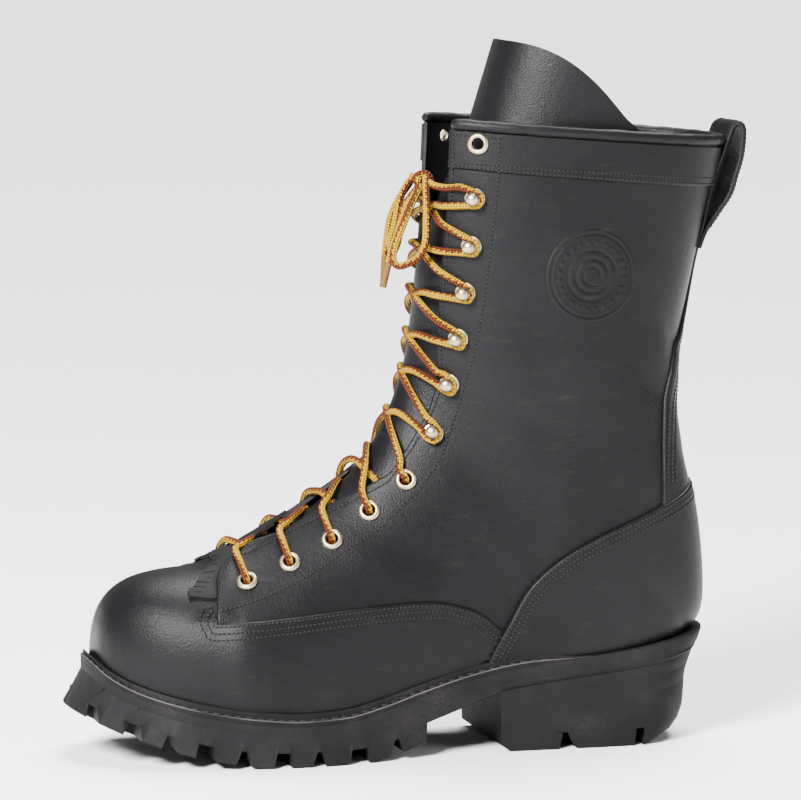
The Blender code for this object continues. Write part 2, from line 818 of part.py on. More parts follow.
def build_upper():
    """The lasted upper: vamp lining, quarters and shaft in one wall, open at throat, collar and sole."""

    def point(t, s, outer):
        return on_upper(t, s, 0.0 if outer else -UPPER_WALL)

    def present(i, j):
        t = (UPPER_ROWS[i] + UPPER_ROWS[i + 1]) / 2
        cell = j - SIDE_COLUMNS if j >= SIDE_COLUMNS else SIDE_COLUMNS - 1 - j
        if cell < 2 and t > THROAT_START:
            return False
        return not (SLOT_FRONT < t < SLOT_REAR and cell < 4)

    mesh = sheet("upper", UPPER_ROWS, upper_columns, point, present, True, HEEL_ROW)
    return place("upper", mesh, LEATHER, 40.0)


def build_panel(name, rows, points, finish):
    """A leather panel laid over the upper, cut to its outline as seen from the side."""

    def point(t, s, outer):
        return above_skin(t, s, GAP + OVERLAY if outer else GAP)

    def present(i, j):
        t = (rows[i] + rows[i + 1]) / 2
        cell = j - SIDE_COLUMNS if j >= SIDE_COLUMNS else SIDE_COLUMNS - 1 - j
        if cell < 2 and t > THROAT_START:
            return False
        return cell < HEM_COLUMN or t > HEEL_ROW + 1

    pole = rows[0] == 0
    closed = HEEL_ROW if rows[-1] > HEEL_ROW else None
    panel = place(name, sheet(name, rows, upper_columns, point, present, pole, closed), finish, 40.0)
    combine(panel, side_cutter(name + "_outline", points), "INTERSECT")
    return panel


PANEL_SEAM = 0.45


def build_panels():
    rear = [(x + PANEL_SEAM, z + PANEL_SEAM / 2) for x, z in COUNTER_EDGE[:2]]
    vamp = rear + [(109.9, 57.4)] + list(VAMP_EDGE) + [(330.0, 110.0), (330.0, 20.0), (125.0, 20.0)]
    vamp_rows = [0, 1, 2, 3, 4, 5, 6, 6.5, SLOT_FRONT, SLOT_REAR, 7.5] + list(range(8, 15))
    build_panel("vamp_panel", vamp_rows, vamp, LEATHER)

    counter = list(COUNTER_EDGE) + [(-30.0, 25.0), (123.0, 25.0)]
    build_panel("heel_counter", list(range(11, 24)), counter, LEATHER)

    foot = [(x, z + PANEL_SEAM) for x, z in reversed(COUNTER_EDGE[-2:])]
    top = [(foot[0][0], band_height(foot[0][0]) - PANEL_SEAM)]
    build_panel("backstay", list(range(19, 28)), foot + list(BACKSTAY_EDGE) + top, LEATHER)

    band = [BAND_LOW[0], BAND_LOW[1], (-40.0, 330.0), (150.0, 330.0)]
    return build_panel("collar_band", [24, 25, 26, 26.93], band, LEATHER)


def band_height(x):
    (front_x, front_z), (back_x, back_z) = BAND_LOW
    return blend(back_z, front_z, (x - back_x) / (front_x - back_x))


BEAD_RADIUS = 2.8


def build_collar_binding():
    """The rolled edge round the top of the shaft."""
    edge = throat_edge(TOP_ROW)
    steps = 13
    path = []
    for side in (1, -1):
        half = [blend(edge + 0.02, 2.0, (k / steps) ** 0.9) for k in range(steps + 1)]
        points = []
        for s in half:
            point = above_skin(TOP_ROW, side * s, -UPPER_WALL / 2)
            point.z += BEAD_RADIUS + GAP
            points.append(point)
        path += points if side > 0 else list(reversed(points))[1:]
    place("collar_binding", tube("collar_binding", path, BEAD_RADIUS, 8), LEATHER, 50.0)


def tube(name, path, radius, sides, twist=0.0):
    """A closed round bar along a path."""
    shape = bmesh.new()
    add_tube(shape, path, radius, sides, twist)
    return finished(name, shape)


def add_tube(shape, path, radius, sides, twist=0.0):
    rings = []
    up = None
    for k, point in enumerate(path):
        ahead = path[min(k + 1, len(path) - 1)] - path[max(k - 1, 0)]
        ahead.normalize()
        if up is None:
            up = Vector((0.0, 0.0, 1.0))
            if abs(ahead.z) > 0.9:
                up = Vector((1.0, 0.0, 0.0))
        up = (up - ahead * up.dot(ahead)).normalized()
        across = ahead.cross(up)
        ring = []
        for n in range(sides):
            turn = 2 * math.pi * n / sides + twist
            ring.append(shape.verts.new(point + (up * math.sin(turn) + across * math.cos(turn)) * radius))
        rings.append(ring)
    for ring, after in zip(rings, rings[1:]):
        for n in range(sides):
            other = (n + 1) % sides
            shape.faces.new((ring[n], ring[other], after[other], after[n]))
    shape.faces.new(list(reversed(rings[0])))
    shape.faces.new(rings[-1])


TONGUE_OUTER = -5.0
TONGUE_INNER = -7.0
TONGUE_START = 7.6
TONGUE_SETBACK = 24.0
SETBACK_LOW = 225.0
SETBACK_SPAN = 77.0
TONGUE_RISE = 38.0
TONGUE_LEAN = 0.31
TONGUE_CORNER = 4.0
# Half width of the tongue along the sections: section, s
TONGUE_HALF = ((7.6, 0.24), (10.0, 0.29), (12.0, 0.5), (18.0, 0.72), (24.0, 0.88), (27.0, 1.03))
TONGUE_HALF_WIDTH = Curve([row[0] for row in TONGUE_HALF], [row[1] for row in TONGUE_HALF])
TONGUE_TOP_STEPS = (0.35, 0.7, 1.0)


def setback(z):
    """How far the tongue leans back from the throat towards the top."""
    return TONGUE_SETBACK * max(0.0, (z - SETBACK_LOW) / SETBACK_SPAN) ** 1.3


def tongue_point(t, s, outer):
    """Sections past the collar rise into the tongue's peaked top."""
    row = min(t, TOP_ROW)
    depth = TONGUE_OUTER if outer else TONGUE_INNER
    point = above_skin(row, s, depth)
    point.x -= setback(point.z)
    point.y *= 1.0 - 0.05 * smooth((point.z - SETBACK_LOW) / SETBACK_SPAN)
    rise = max(0.0, t - TOP_ROW)
    if rise > 0:
        share = abs(s) / TONGUE_HALF_WIDTH(TOP_ROW)
        height = rise * (2.0 + TONGUE_RISE * (1 - share**TONGUE_CORNER))
        point.z += height
        point.x -= height * TONGUE_LEAN
    return point


def build_tongue():
    rows = [TONGUE_START] + list(range(8, TOP_ROW + 1)) + [TOP_ROW + step for step in TONGUE_TOP_STEPS]
    rows = [t for t in rows if t <= 14 or t >= 24 or t % 2 == 0]
    spread = (0.3, 0.58, 0.82, 1.0)

    def columns(t):
        half = [TONGUE_HALF_WIDTH(min(t, TOP_ROW)) * share for share in spread]
        return [-s for s in reversed(half)] + [0.0] + half

    mesh = sheet("tongue", rows, columns, tongue_point, lambda i, j: True)
    place("tongue", mesh, LEATHER, 50.0)


KILTIE_HALF = 27.0
KILTIE_NECK = 9.0
FRINGE_STRIPS = 8
FRINGE_SLIT = 1.1
# The kiltie from its fringe back under the lace: section, underside over the skin
KILTIE_ROWS = (
    (6.15, 2.7), (6.42, 2.7), (6.65, 2.7), (6.88, 2.7),
    (7.2, 2.9), (7.6, 1.4), (8.1, -0.8), (8.7, -1.2),
)
KILTIE_THICK = 1.7


def s_at(t, y):
    """S of the point of a section at a given distance across."""
    row = section(t)
    wide = row[7] if y >= row[2] else row[8]
    share = min((y - row[2]) / (wide - row[2]), 1.0)
    return math.copysign(math.asin(share ** (row[10] / 2)) * 2 / math.pi, 1 if y >= row[2] else -1)


def build_kiltie():
    rise = dict(KILTIE_ROWS)
    rows = [t for t, height in KILTIE_ROWS]
    pitch = 2 * KILTIE_HALF / FRINGE_STRIPS
    across = []
    for k in range(FRINGE_STRIPS):
        low = -KILTIE_HALF + k * pitch
        across += [low + (FRINGE_SLIT / 2 if k else 0.0)]
        across += [low + pitch - (FRINGE_SLIT / 2 if k < FRINGE_STRIPS - 1 else 0.0)]

    def columns(t):
        shrink = KILTIE_NECK / KILTIE_HALF if t > 7 else 1.0
        return [s_at(t, section(t)[2] + y * shrink) for y in across]

    def point(t, s, outer):
        return above_skin(t, s, rise[t] + (KILTIE_THICK if outer else 0.0))

    def present(i, j):
        return not (i == 0 and j % 2 == 1)

    place("kiltie", sheet("kiltie", rows, columns, point, present), LEATHER, 40.0)


def offset_line(points, distance):
    """A polyline moved sideways in its plane."""
    moved = []
    for k in range(len(points)):
        before = Vector(points[max(k - 1, 0)])
        after = Vector(points[min(k + 1, len(points) - 1)])
        ahead = (after - before).normalized()
        moved.append((points[k][0] - ahead.y * distance, points[k][1] + ahead.x * distance))
    return moved


def build_pull_loop():
    half = PULL_LOOP_THICK / 2
    points = offset_line(PULL_LOOP, half) + list(reversed(offset_line(PULL_LOOP, -half)))
    shape = bmesh.new()
    prism(shape, points, -PULL_LOOP_WIDTH / 2, PULL_LOOP_WIDTH / 2)
    place("pull_loop", finished("pull_loop", shape), LEATHER)


def find_on_side(x, z):
    """The section and s of the upper's point that lies at x, z as seen from the side."""
    low = SLOT_REAR
    high = float(TOP_ROW)
    for step in range(50):
        t = (low + high) / 2
        row = section(t)
        turn = (row[3] - row[0]) * (z - row[1]) - (row[4] - row[1]) * (x - row[0])
        if turn > 0:
            high = t
        else:
            low = t
    row = section(t)
    share = math.hypot(x - row[0], z - row[1]) / math.hypot(row[3] - row[0], row[4] - row[1])
    turn = math.acos(max(1 - share / row[9], 0.0) ** (row[10] / 2))
    return t, turn * 2 / math.pi


def fastener_places():
    """The two sides' fasteners, each as its kind, its section and its s."""
    return [(kind, *find_on_side(x, z)) for kind, x, z in FASTENERS]


# Turned profiles as radius and height over the leather
EYELET_PROFILE = ((2.6, -2.2), (3.1, -2.2), (3.1, 0.45), (5.15, 0.45), (4.5, 1.7), (3.0, 1.7))
EYELET_HOLE = 3.6
HOOK_PROFILE = (
    (0.0, 0.5), (4.5, 0.5), (4.5, 1.2), (2.0, 1.4),
    (2.0, 3.8), (3.5, 6.4), (2.4, 9.2), (0.0, 10.0),
)


def axes_at(t, s):
    normal = outward(t, s)
    along = (skin(min(t + 0.05, TOP_ROW), s) - skin(t - 0.05, s))
    along = (along - normal * along.dot(normal)).normalized()
    return normal, along, normal.cross(along)


def turned(shape, base, axes, profile, sides, ring):
    """Adds a turned solid to a bmesh: a closed ring, or a profile that starts and ends on its axis."""
    normal, along, across = axes
    loops = []
    for radius, height in profile:
        centre = base + normal * height
        if radius == 0:
            loops.append([shape.verts.new(centre)] * sides)
            continue
        loop = []
        for k in range(sides):
            turn = 2 * math.pi * k / sides
            spoke = along * math.cos(turn) + across * math.sin(turn)
            loop.append(shape.verts.new(centre + spoke * radius))
        loops.append(loop)
    if ring:
        loops.append(loops[0])
    for loop, after in zip(loops, loops[1:]):
        for k in range(sides):
            other = (k + 1) % sides
            corners = list(dict.fromkeys((loop[k], loop[other], after[other], after[k])))
            shape.faces.new(corners)


BAND_ROW = 26


def build_fasteners(upper, band):
    """Eyelets through the leather and ball hooks riveted on it, with the holes that they need."""
    holes = bmesh.new()
    band_holes = bmesh.new()
    eyelet_count = 0
    hook_count = 0
    for kind, t, c in PLACES:
        eyelet_count += kind == "eyelet"
        hook_count += kind == "hook"
        for side, word in ((1, "outer"), (-1, "inner")):
            s = side * c
            lift = GAP + OVERLAY if t > BAND_ROW else 0.0
            base = on_upper(t, s, lift)
            shape = bmesh.new()
            if kind == "eyelet":
                name = f"eyelet_{word}_{eyelet_count}"
                turned(shape, base, axes_at(t, s), EYELET_PROFILE, 8, True)
                bore = ((0.0, -8.0), (EYELET_HOLE, -8.0), (EYELET_HOLE, 4.0), (0.0, 4.0))
                turned(holes, base, axes_at(t, s), bore, 8, False)
                if t > BAND_ROW:
                    turned(band_holes, base, axes_at(t, s), bore, 8, False)
            else:
                name = f"hook_{word}_{hook_count}"
                turned(shape, base, axes_at(t, s), HOOK_PROFILE, 8, False)
            place(name, finished(name, shape), BRASS, 35.0)
    combine(upper, cutter("eyelet_holes", finished("eyelet_holes", holes)), "DIFFERENCE")
    combine(band, cutter("band_holes", finished("band_holes", band_holes)), "DIFFERENCE")


LACE_SETBACK = 0.5
LACE_DRAWN = 0.8
LACE_STEPS = (0.0, 0.18, 0.34, 0.5, 0.66, 0.82, 1.0)
LACE_PARTING = 2.7
HOOK_REACH = 4.1
KNOT_REACH = 3.0
FASTENER_PITCH = 22.9
LACE_OVER_EYELET = EYELET_PROFILE[-1][1] + GAP + LACE_RADIUS + 0.5
LACE_OVER_HOOK = HOOK_PROFILE[2][1] + GAP + LACE_RADIUS + 0.2


def lace_point(t, s, height):
    """A point of the lace over the throat, drawn back with the tongue where the tongue leans back."""
    point = on_upper(t, s, height)
    share = max(0.0, 1 - (s / (LACE_DRAWN * throat_edge(t))) ** 2)
    point.x -= LACE_SETBACK * setback(point.z) * share
    return point


def lace_rest(k, going_up, reach=HOOK_REACH):
    """Section, s and height of the lace where it rests on a fastener, clear of its other strand."""
    kind, t, c = PLACES[k]
    neighbour = PLACES[min(k + 1, len(PLACES) - 1) if going_up else k - 1]
    t += (neighbour[1] - t) * LACE_PARTING / FASTENER_PITCH
    c += (neighbour[2] - c) * LACE_PARTING / FASTENER_PITCH
    if kind == "hook":
        width = (skin(t, c) - skin(t, c - 0.1)).length
        c -= 0.1 * reach / width
        return t, c, LACE_OVER_HOOK
    return t, c, LACE_OVER_EYELET


def lace_bar(k, side):
    """One strand from fastener k on a side to the next fastener on the other side."""
    t_low, c_low, low_height = lace_rest(k, True)
    t_high, c_high, high_height = lace_rest(k + 1, False)
    path = []
    for u in LACE_STEPS:
        s = side * blend(c_low, -c_high, u)
        path.append(lace_point(blend(t_low, t_high, u), s, blend(low_height, high_height, u)))
    return path


LAST_HOOK = len(FASTENERS) - 2


def build_lace():
    """Crossings over the throat, then the knot, its loops and its ends."""
    for k in range(LAST_HOOK):
        name = f"lace_cross_{k + 1}"
        crossing = place(name, tube(name, lace_bar(k, 1), LACE_RADIUS, 6), LACE, 60.0)
        other = cutter(name + "_other", tube(name + "_other", lace_bar(k, -1), LACE_RADIUS, 6, 0.2))
        combine(crossing, other, "UNION")
    t, c, height = lace_rest(LAST_HOOK, True, KNOT_REACH)
    knot = []
    for u in LACE_STEPS:
        knot.append(lace_point(t + 0.22 * math.sin(u * math.pi), blend(c, -c, u), height))
    cord("lace_knot", knot)
    cord("lace_loop_outer", [Vector(point) for point in LACE_LOOP_OUTER])
    cord("lace_loop_inner", [Vector(point) for point in LACE_LOOP_INNER])
    cord("lace_end_outer", [Vector(point) for point in LACE_END_OUTER])
    cord("lace_end_inner", [Vector(point) for point in LACE_END_INNER])


def smooth_path(points, spacing):
    """Points read at an even spacing from a smooth curve through a route."""
    dense = []
    for k in range(len(points) - 1):
        before = points[max(k - 1, 0)]
        start = points[k]
        finish = points[k + 1]
        after = points[min(k + 2, len(points) - 1)]
        for step in range(12):
            u = step / 12
            bend = (finish - before) * u
            bend += (before * 2 - start * 5 + finish * 4 - after) * u**2
            bend += (start * 3 - before - finish * 3 + after) * u**3
            dense.append(start + bend * 0.5)
    dense.append(points[-1])
    length = sum((b - a).length for a, b in zip(dense, dense[1:]))
    count = max(2, round(length / spacing))
    path = [dense[0]]
    walked = 0.0
    for a, b in zip(dense, dense[1:]):
        walked += (b - a).length
        while len(path) < count and walked >= len(path) * length / count:
            path.append(b)
    path.append(dense[-1])
    return path


def cord(name, points):
    """A free stretch of lace as a round curve."""
    path = smooth_path(points, 8.0)
    data = bpy.data.curves.new(name, "CURVE")
    data.dimensions = "3D"
    data.bevel_depth = LACE_RADIUS * MM
    data.bevel_resolution = 2
    data.use_fill_caps = True
    line = data.splines.new("POLY")
    line.points.add(len(path) - 1)
    for corner, point in zip(line.points, path):
        corner.co = (*(point * MM), 1.0)
    place(name, data, LACE)


for old in list(bpy.data.objects):
    bpy.data.objects.remove(old)

BOOT = empty_parent()
CUT = material("cutter", (1.0, 0.2, 0.2), 0.8)
LEATHER = material("black_oiled_leather", (0.018, 0.017, 0.019), 0.42)
RUBBER = material("black_rubber", (0.028, 0.026, 0.028), 0.75)
INSOLE = material("tan_insole_leather", (0.28, 0.17, 0.09), 0.7)
BRASS = material("pale_brass", (0.72, 0.62, 0.46), 0.28, 1.0)
LACE = material("yellow_brown_lace", (0.72, 0.42, 0.04), 0.8)
PLACES = fastener_places()

build_midsole()
build_outsole()
build_heel()
build_welt()
build_insole()
UPPER = build_upper()
BAND = build_panels()
build_collar_binding()
build_tongue()
build_kiltie()
build_pull_loop()
build_fasteners(UPPER, BAND)
build_lace()
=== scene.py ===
"""The looks of a left wildland fire boot: black oiled leather on a welted, lugged rubber sole.

Sizes are millimetres in the last's own frame: X runs from the back of the heel seat to the toe,
Y to the outer side and Z up from the floor. Every mesh is put into the shared frame in metres.
"""

import math

import bpy
import numpy as np
from mathutils import Matrix, Vector


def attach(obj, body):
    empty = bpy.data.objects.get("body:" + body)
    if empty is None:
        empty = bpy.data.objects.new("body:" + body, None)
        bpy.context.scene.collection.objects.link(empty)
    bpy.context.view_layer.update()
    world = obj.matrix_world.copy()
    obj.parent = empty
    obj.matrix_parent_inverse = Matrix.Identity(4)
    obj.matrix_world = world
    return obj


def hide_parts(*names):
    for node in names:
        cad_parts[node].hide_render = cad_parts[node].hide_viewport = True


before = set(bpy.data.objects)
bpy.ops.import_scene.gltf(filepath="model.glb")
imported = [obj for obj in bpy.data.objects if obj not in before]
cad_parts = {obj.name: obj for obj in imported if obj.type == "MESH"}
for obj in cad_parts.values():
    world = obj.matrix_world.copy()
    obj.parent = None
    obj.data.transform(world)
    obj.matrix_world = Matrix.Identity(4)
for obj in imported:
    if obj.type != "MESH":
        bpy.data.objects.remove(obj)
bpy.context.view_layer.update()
bpy.ops.object.select_all(action="DESELECT")


# Insole
# A flat sole of tan leather, tacked to the last before the upper is drawn over its edge.
# It shows only down through the collar, so its solid stays and gets its finish here.
def add_node(tree, kind, inputs=None, **settings):
    """Adds a shader node; an input is a constant, or the socket of another node."""
    made = tree.nodes.new(kind)
    for name, value in settings.items():
        setattr(made, name, value)
    for name, value in (inputs or {}).items():
        if isinstance(value, bpy.types.NodeSocket):
            tree.links.new(value, made.inputs[name])
        else:
            made.inputs[name].default_value = value
    return made


def calculate(tree, operation, first, second=0.0):
    made = add_node(tree, "ShaderNodeMath", operation=operation)
    for socket, value in zip(made.inputs, (first, second)):
        if isinstance(value, bpy.types.NodeSocket):
            tree.links.new(value, socket)
        else:
            socket.default_value = value
    return made.outputs["Value"]


def between(tree, value, low, high, start=0.0, finish=1.0):
    """Maps a value's stretch from low to high onto another stretch."""
    inputs = {"Value": value, "From Min": low, "From Max": high, "To Min": start, "To Max": finish}
    return add_node(tree, "ShaderNodeMapRange", inputs).outputs["Result"]


def mixed(tree, share, first, second):
    """Mixes two colours, each a constant or a socket."""
    made = add_node(tree, "ShaderNodeMix", data_type="RGBA")
    for index, value in ((0, share), (6, first), (7, second)):
        if isinstance(value, bpy.types.NodeSocket):
            tree.links.new(value, made.inputs[index])
        else:
            made.inputs[index].default_value = value if index == 0 else (*value, 1.0)
    return made.outputs[2]


def new_finish(name, constants):
    """A material whose shader holds the values that are the same all over."""
    finish = bpy.data.materials.new(name)
    finish.use_nodes = True
    shader = finish.node_tree.nodes["Principled BSDF"]
    for socket, value in constants.items():
        shader.inputs[socket].default_value = value
    return finish, finish.node_tree, shader


def set_bump(tree, shader, height, distance):
    bump = add_node(tree, "ShaderNodeBump", {"Height": height, "Distance": distance, "Strength": 1.0})
    tree.links.new(bump.outputs["Normal"], shader.inputs["Normal"])


def noise(tree, place, scale, detail=2.0, roughness=0.5):
    inputs = {"Vector": place, "Scale": scale, "Detail": detail, "Roughness": roughness}
    return add_node(tree, "ShaderNodeTexNoise", inputs).outputs["Fac"]


def object_place(tree):
    return add_node(tree, "ShaderNodeTexCoord").outputs["Object"]


def new_group(name, setting, value, results):
    """An effect that several finishes share: a node group, the socket of its setting and its results."""
    group = bpy.data.node_groups.new(name, "ShaderNodeTree")
    group.interface.new_socket(setting, in_out="INPUT", socket_type="NodeSocketFloat").default_value = value
    for result in results:
        group.interface.new_socket(result, in_out="OUTPUT", socket_type="NodeSocketFloat")
    start = group.nodes.new("NodeGroupInput")
    end = group.nodes.new("NodeGroupOutput")
    return group, start.outputs[setting], end.inputs


PORE_SCALE = 1300.0


def leather_grain_group():
    """Grain, blotches and scuffs that every leather of the boot shares."""
    marks = ("Height", "Blotch", "Scuff")
    group, scale, results = new_group("leather_grain", "Pore Scale", PORE_SCALE, marks)
    place = object_place(group)
    pores = add_node(group, "ShaderNodeTexVoronoi", {"Vector": place, "Scale": scale})
    fine = noise(group, place, 2900.0, 3.0, 0.6)
    broad = noise(group, place, 330.0, 4.0, 0.6)
    grain = calculate(group, "MULTIPLY", pores.outputs["Distance"], 0.45)
    grain = calculate(group, "ADD", grain, calculate(group, "MULTIPLY", fine, 0.4))
    grain = calculate(group, "ADD", grain, calculate(group, "MULTIPLY", broad, 0.8))
    group.links.new(grain, results["Height"])
    group.links.new(between(group, noise(group, place, 19.0, 6.0, 0.62), 0.34, 0.68), results["Blotch"])
    drawn = add_node(group, "ShaderNodeMapping", {"Vector": place, "Scale": (60.0, 60.0, 420.0),
                                                  "Rotation": (0.0, 0.5, 0.2)})
    rubbed = noise(group, drawn.outputs["Vector"], 1.0, 5.0, 0.7)
    group.links.new(between(group, rubbed, 0.6, 0.78), results["Scuff"])
    return group


GRAIN = leather_grain_group()


def leather(name, dark, light, worn, gloss, bump, pores=PORE_SCALE):
    """A leather: two shades in soft blotches, a worn shade in fine scuffs, and its grain."""
    finish, tree, shader = new_finish(name, {"IOR": 1.48, "Specular IOR Level": 0.13})
    grain = add_node(tree, "ShaderNodeGroup", {"Pore Scale": pores}, node_tree=GRAIN)
    shade = mixed(tree, grain.outputs["Blotch"], dark, light)
    scuffed = calculate(tree, "MULTIPLY", grain.outputs["Scuff"], 0.35)
    tree.links.new(mixed(tree, scuffed, shade, worn), shader.inputs["Base Color"])
    rough = between(tree, grain.outputs["Blotch"], 0.0, 1.0, gloss + 0.05, gloss - 0.06)
    rough = calculate(tree, "ADD", rough, calculate(tree, "MULTIPLY", grain.outputs["Scuff"], 0.12))
    tree.links.new(rough, shader.inputs["Roughness"])
    set_bump(tree, shader, grain.outputs["Height"], bump)
    return finish


INSOLE_LEATHER = leather("tan_insole_leather", (0.24, 0.135, 0.065), (0.33, 0.2, 0.105), (0.16, 0.09, 0.05),
                         0.62, 0.0002)
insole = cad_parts["insole"]
insole.data.materials.clear()
insole.data.materials.append(INSOLE_LEATHER)


# Upper
# The quarters and the shaft, cut from thick black oiled leather and lasted over the insole's edge.
# The quarters stay open down the throat, and their front tips stand on the vamp.
MM = 0.001
LAST_ORIGIN = np.array((143.4, 0.675, 0.0))
GAP = 0.3
UPPER_WALL = 2.5
WELT_INSET = 9.7
SWELL = 3.0
TOE_ROUND = 95.0
FEATHER_ROUND = 90.0
HEEL_ROUND = 40.0
ROUND_POWER = 2.2
TOE_TURN_IN = 6.0
TURN_START = 200.0
TURN_SPAN = 110.0
HEEL_LEDGE_LESS = 3.2
HEEL_LEDGE_FRONT = 130.0
HEEL_LEDGE_SPAN = 60.0

# Half widths of the sole from the middle line: distance from the heel, outer side, inner side
SOLE_PLAN = (
    (0.0, 40.0, 38.0), (40.0, 40.0, 38.0), (70.0, 40.5, 38.5), (100.0, 40.5, 36.5), (125.0, 42.0, 35.0),
    (150.0, 46.0, 37.5), (180.0, 52.5, 45.0), (205.0, 56.0, 51.5), (230.0, 56.5, 55.5), (255.0, 56.0, 57.0),
    (310.0, 52.0, 62.0),
)

# Height of the surface that the upper is lasted on: distance from the heel, height
SEAT = (
    (0.0, 53.5), (30.0, 48.8), (60.0, 45.0), (85.0, 42.2), (110.0, 38.8), (130.0, 34.6), (150.0, 29.4),
    (170.0, 23.8), (190.0, 19.9), (210.0, 19.2), (230.0, 20.7), (250.0, 23.5), (270.0, 27.8), (285.0, 32.4),
    (295.0, 37.4), (305.0, 46.4), (314.0, 56.0),
)

# Sections of the upper, fanned from the toe to the collar, each from the ridge over the foot to its end.
# None takes the end from the seat, or the half widths from the sole's plan.
# ridge x, ridge z, end x, end z, outer half width, inner, widest at, front power, back power, throat
SECTIONS = (
    (297.3, 39.6, 297.3, None, None, None, 0.62, 2.5, 2.0, 10.5),
    (297.1, 48.0, 296.9, None, None, None, 0.62, 2.5, 2.0, 10.5),
    (296.2, 58.5, 296.0, None, None, None, 0.63, 2.5, 2.0, 10.5),
    (293.5, 68.0, 293.2, None, None, None, 0.64, 2.5, 2.0, 10.5),
    (287.5, 76.0, 287.5, None, None, None, 0.65, 2.5, 2.0, 10.5),
    (278.0, 81.5, 278.5, None, None, None, 0.66, 2.5, 2.0, 10.5),
    (265.0, 84.6, 266.0, None, None, None, 0.67, 2.4, 2.0, 10.5),
    (250.0, 86.5, 250.0, None, None, None, 0.68, 2.3, 2.0, 10.5),
    (236.0, 93.5, 231.0, None, 49.5, 47.5, 0.69, 2.2, 2.0, 10.5),
    (217.0, 105.5, 206.0, None, 48.5, 44.5, 0.70, 2.1, 2.0, 10.5),
    (196.0, 119.5, 176.0, None, 45.2, 39.5, 0.70, 2.05, 2.0, 13.0),
    (178.0, 134.5, 145.0, None, 41.4, 36.4, 0.685, 2.03, 2.05, 17.0),
    (167.5, 148.5, 112.0, None, 38.8, 35.4, 0.66, 2.05, 2.15, 21.0),
    (161.8, 159.5, 78.0, None, 37.6, 35.8, 0.625, 2.08, 2.3, 23.5),
    (158.3, 168.0, 50.0, None, 37.3, 36.4, 0.595, 2.1, 2.45, 25.5),
    (156.2, 174.0, 30.0, None, 37.3, 36.7, 0.57, 2.1, 2.6, 26.3),
    (154.9, 178.2, 17.0, None, 37.4, 36.9, 0.55, 2.1, 2.72, 26.8),
    (153.9, 181.7, 11.5, None, 37.5, 37.0, 0.538, 2.1, 2.8, 27.2),
    (153.0, 185.2, 5.6, 58.5, 37.7, 37.2, 0.53, 2.1, 2.85, 27.6),
    (152.2, 189.2, 4.0, 68.0, 37.9, 37.4, 0.522, 2.12, 2.85, 28.0),
    (151.3, 194.2, 4.5, 86.0, 38.1, 37.6, 0.514, 2.14, 2.82, 28.3),
    (150.3, 201.2, 8.0, 112.0, 38.4, 37.9, 0.507, 2.17, 2.76, 28.5),
    (149.0, 211.0, 14.0, 140.0, 38.8, 38.3, 0.502, 2.2, 2.68, 28.6),
    (147.4, 224.0, 16.5, 164.0, 39.6, 39.1, 0.50, 2.25, 2.6, 28.7),
    (145.8, 241.0, 14.5, 190.0, 41.0, 40.5, 0.50, 2.3, 2.5, 28.8),
    (144.2, 260.0, 8.2, 223.0, 42.5, 42.0, 0.50, 2.35, 2.45, 28.8),
    (143.0, 279.0, 0.5, 256.0, 43.5, 43.0, 0.50, 2.4, 2.4, 28.6),
    (142.5, 294.0, -6.5, 282.7, 44.0, 43.5, 0.50, 2.4, 2.4, 28.4),
)
HEEL_ROW = 17
TOP_ROW = len(SECTIONS) - 1
FEATHER_TOE = SECTIONS[0][0]
FEATHER_HEEL = SECTIONS[HEEL_ROW][2]


class Curve:
    """A smooth line through the rows of a table that does not overshoot between them."""

    def __init__(self, places, values):
        self.places = np.array(places, float)
        self.values = np.array(values, float)
        self.spans = np.diff(self.places)
        slopes = np.diff(self.values) / self.spans
        before, after = slopes[:-1], slopes[1:]
        same_way = before * after > 0
        total = np.where(same_way, before + after, 1.0)
        inner = np.where(same_way, 2 * before * after / total, 0.0)
        self.tangents = np.concatenate((slopes[:1], inner, slopes[-1:]))

    def __call__(self, place):
        place = np.clip(place, self.places[0], self.places[-1])
        k = np.clip(np.searchsorted(self.places, place, side="right") - 1, 0, len(self.spans) - 1)
        span = self.spans[k]
        u = (place - self.places[k]) / span
        rise = self.values[k + 1] - self.values[k]
        start = self.tangents[k] * span
        finish = self.tangents[k + 1] * span
        square = 3 * rise - 2 * start - finish
        cube = start + finish - 2 * rise
        return self.values[k] + start * u + square * u**2 + cube * u**3


def soft_step(u):
    u = np.clip(u, 0.0, 1.0)
    return u * u * (3 - 2 * u)


def blend(a, b, u):
    return a + (b - a) * u


plan_x, plan_outer, plan_inner = zip(*SOLE_PLAN)
outer_plan = Curve(plan_x, plan_outer)
inner_plan = Curve(plan_x, plan_inner)
seat = Curve(*zip(*SEAT))


def middle(x):
    """The middle line of the last, which turns inwards at the toe."""
    return -TOE_TURN_IN * soft_step((x - TURN_START) / TURN_SPAN)


def outline(x, side, heel_x, toe_x, inset, toe_round=TOE_ROUND):
    """Y of the rounded plan at x, on side 1 (outer) or -1 (inner)."""
    flank = (outer_plan(x) if side > 0 else -inner_plan(x)) - side * inset
    toe_part = np.clip((x - toe_x + toe_round) / toe_round, 0.0, 1.0)
    heel_part = np.clip((heel_x + HEEL_ROUND - x) / HEEL_ROUND, 0.0, 1.0)
    fullness = (1 - toe_part**ROUND_POWER) ** (1 / ROUND_POWER)
    fullness = fullness * (1 - heel_part**ROUND_POWER) ** (1 / ROUND_POWER)
    return middle(x) + (flank - middle(x)) * fullness


def ledge(x):
    """How far the sole's edge stands out past the line where the upper meets it, less at the heel."""
    return WELT_INSET - HEEL_LEDGE_LESS * soft_step((HEEL_LEDGE_FRONT - x) / HEEL_LEDGE_SPAN)


def feather(x, side):
    """Y of the line where the upper meets the sole."""
    return outline(x, side, FEATHER_HEEL, FEATHER_TOE, ledge(x), FEATHER_ROUND)


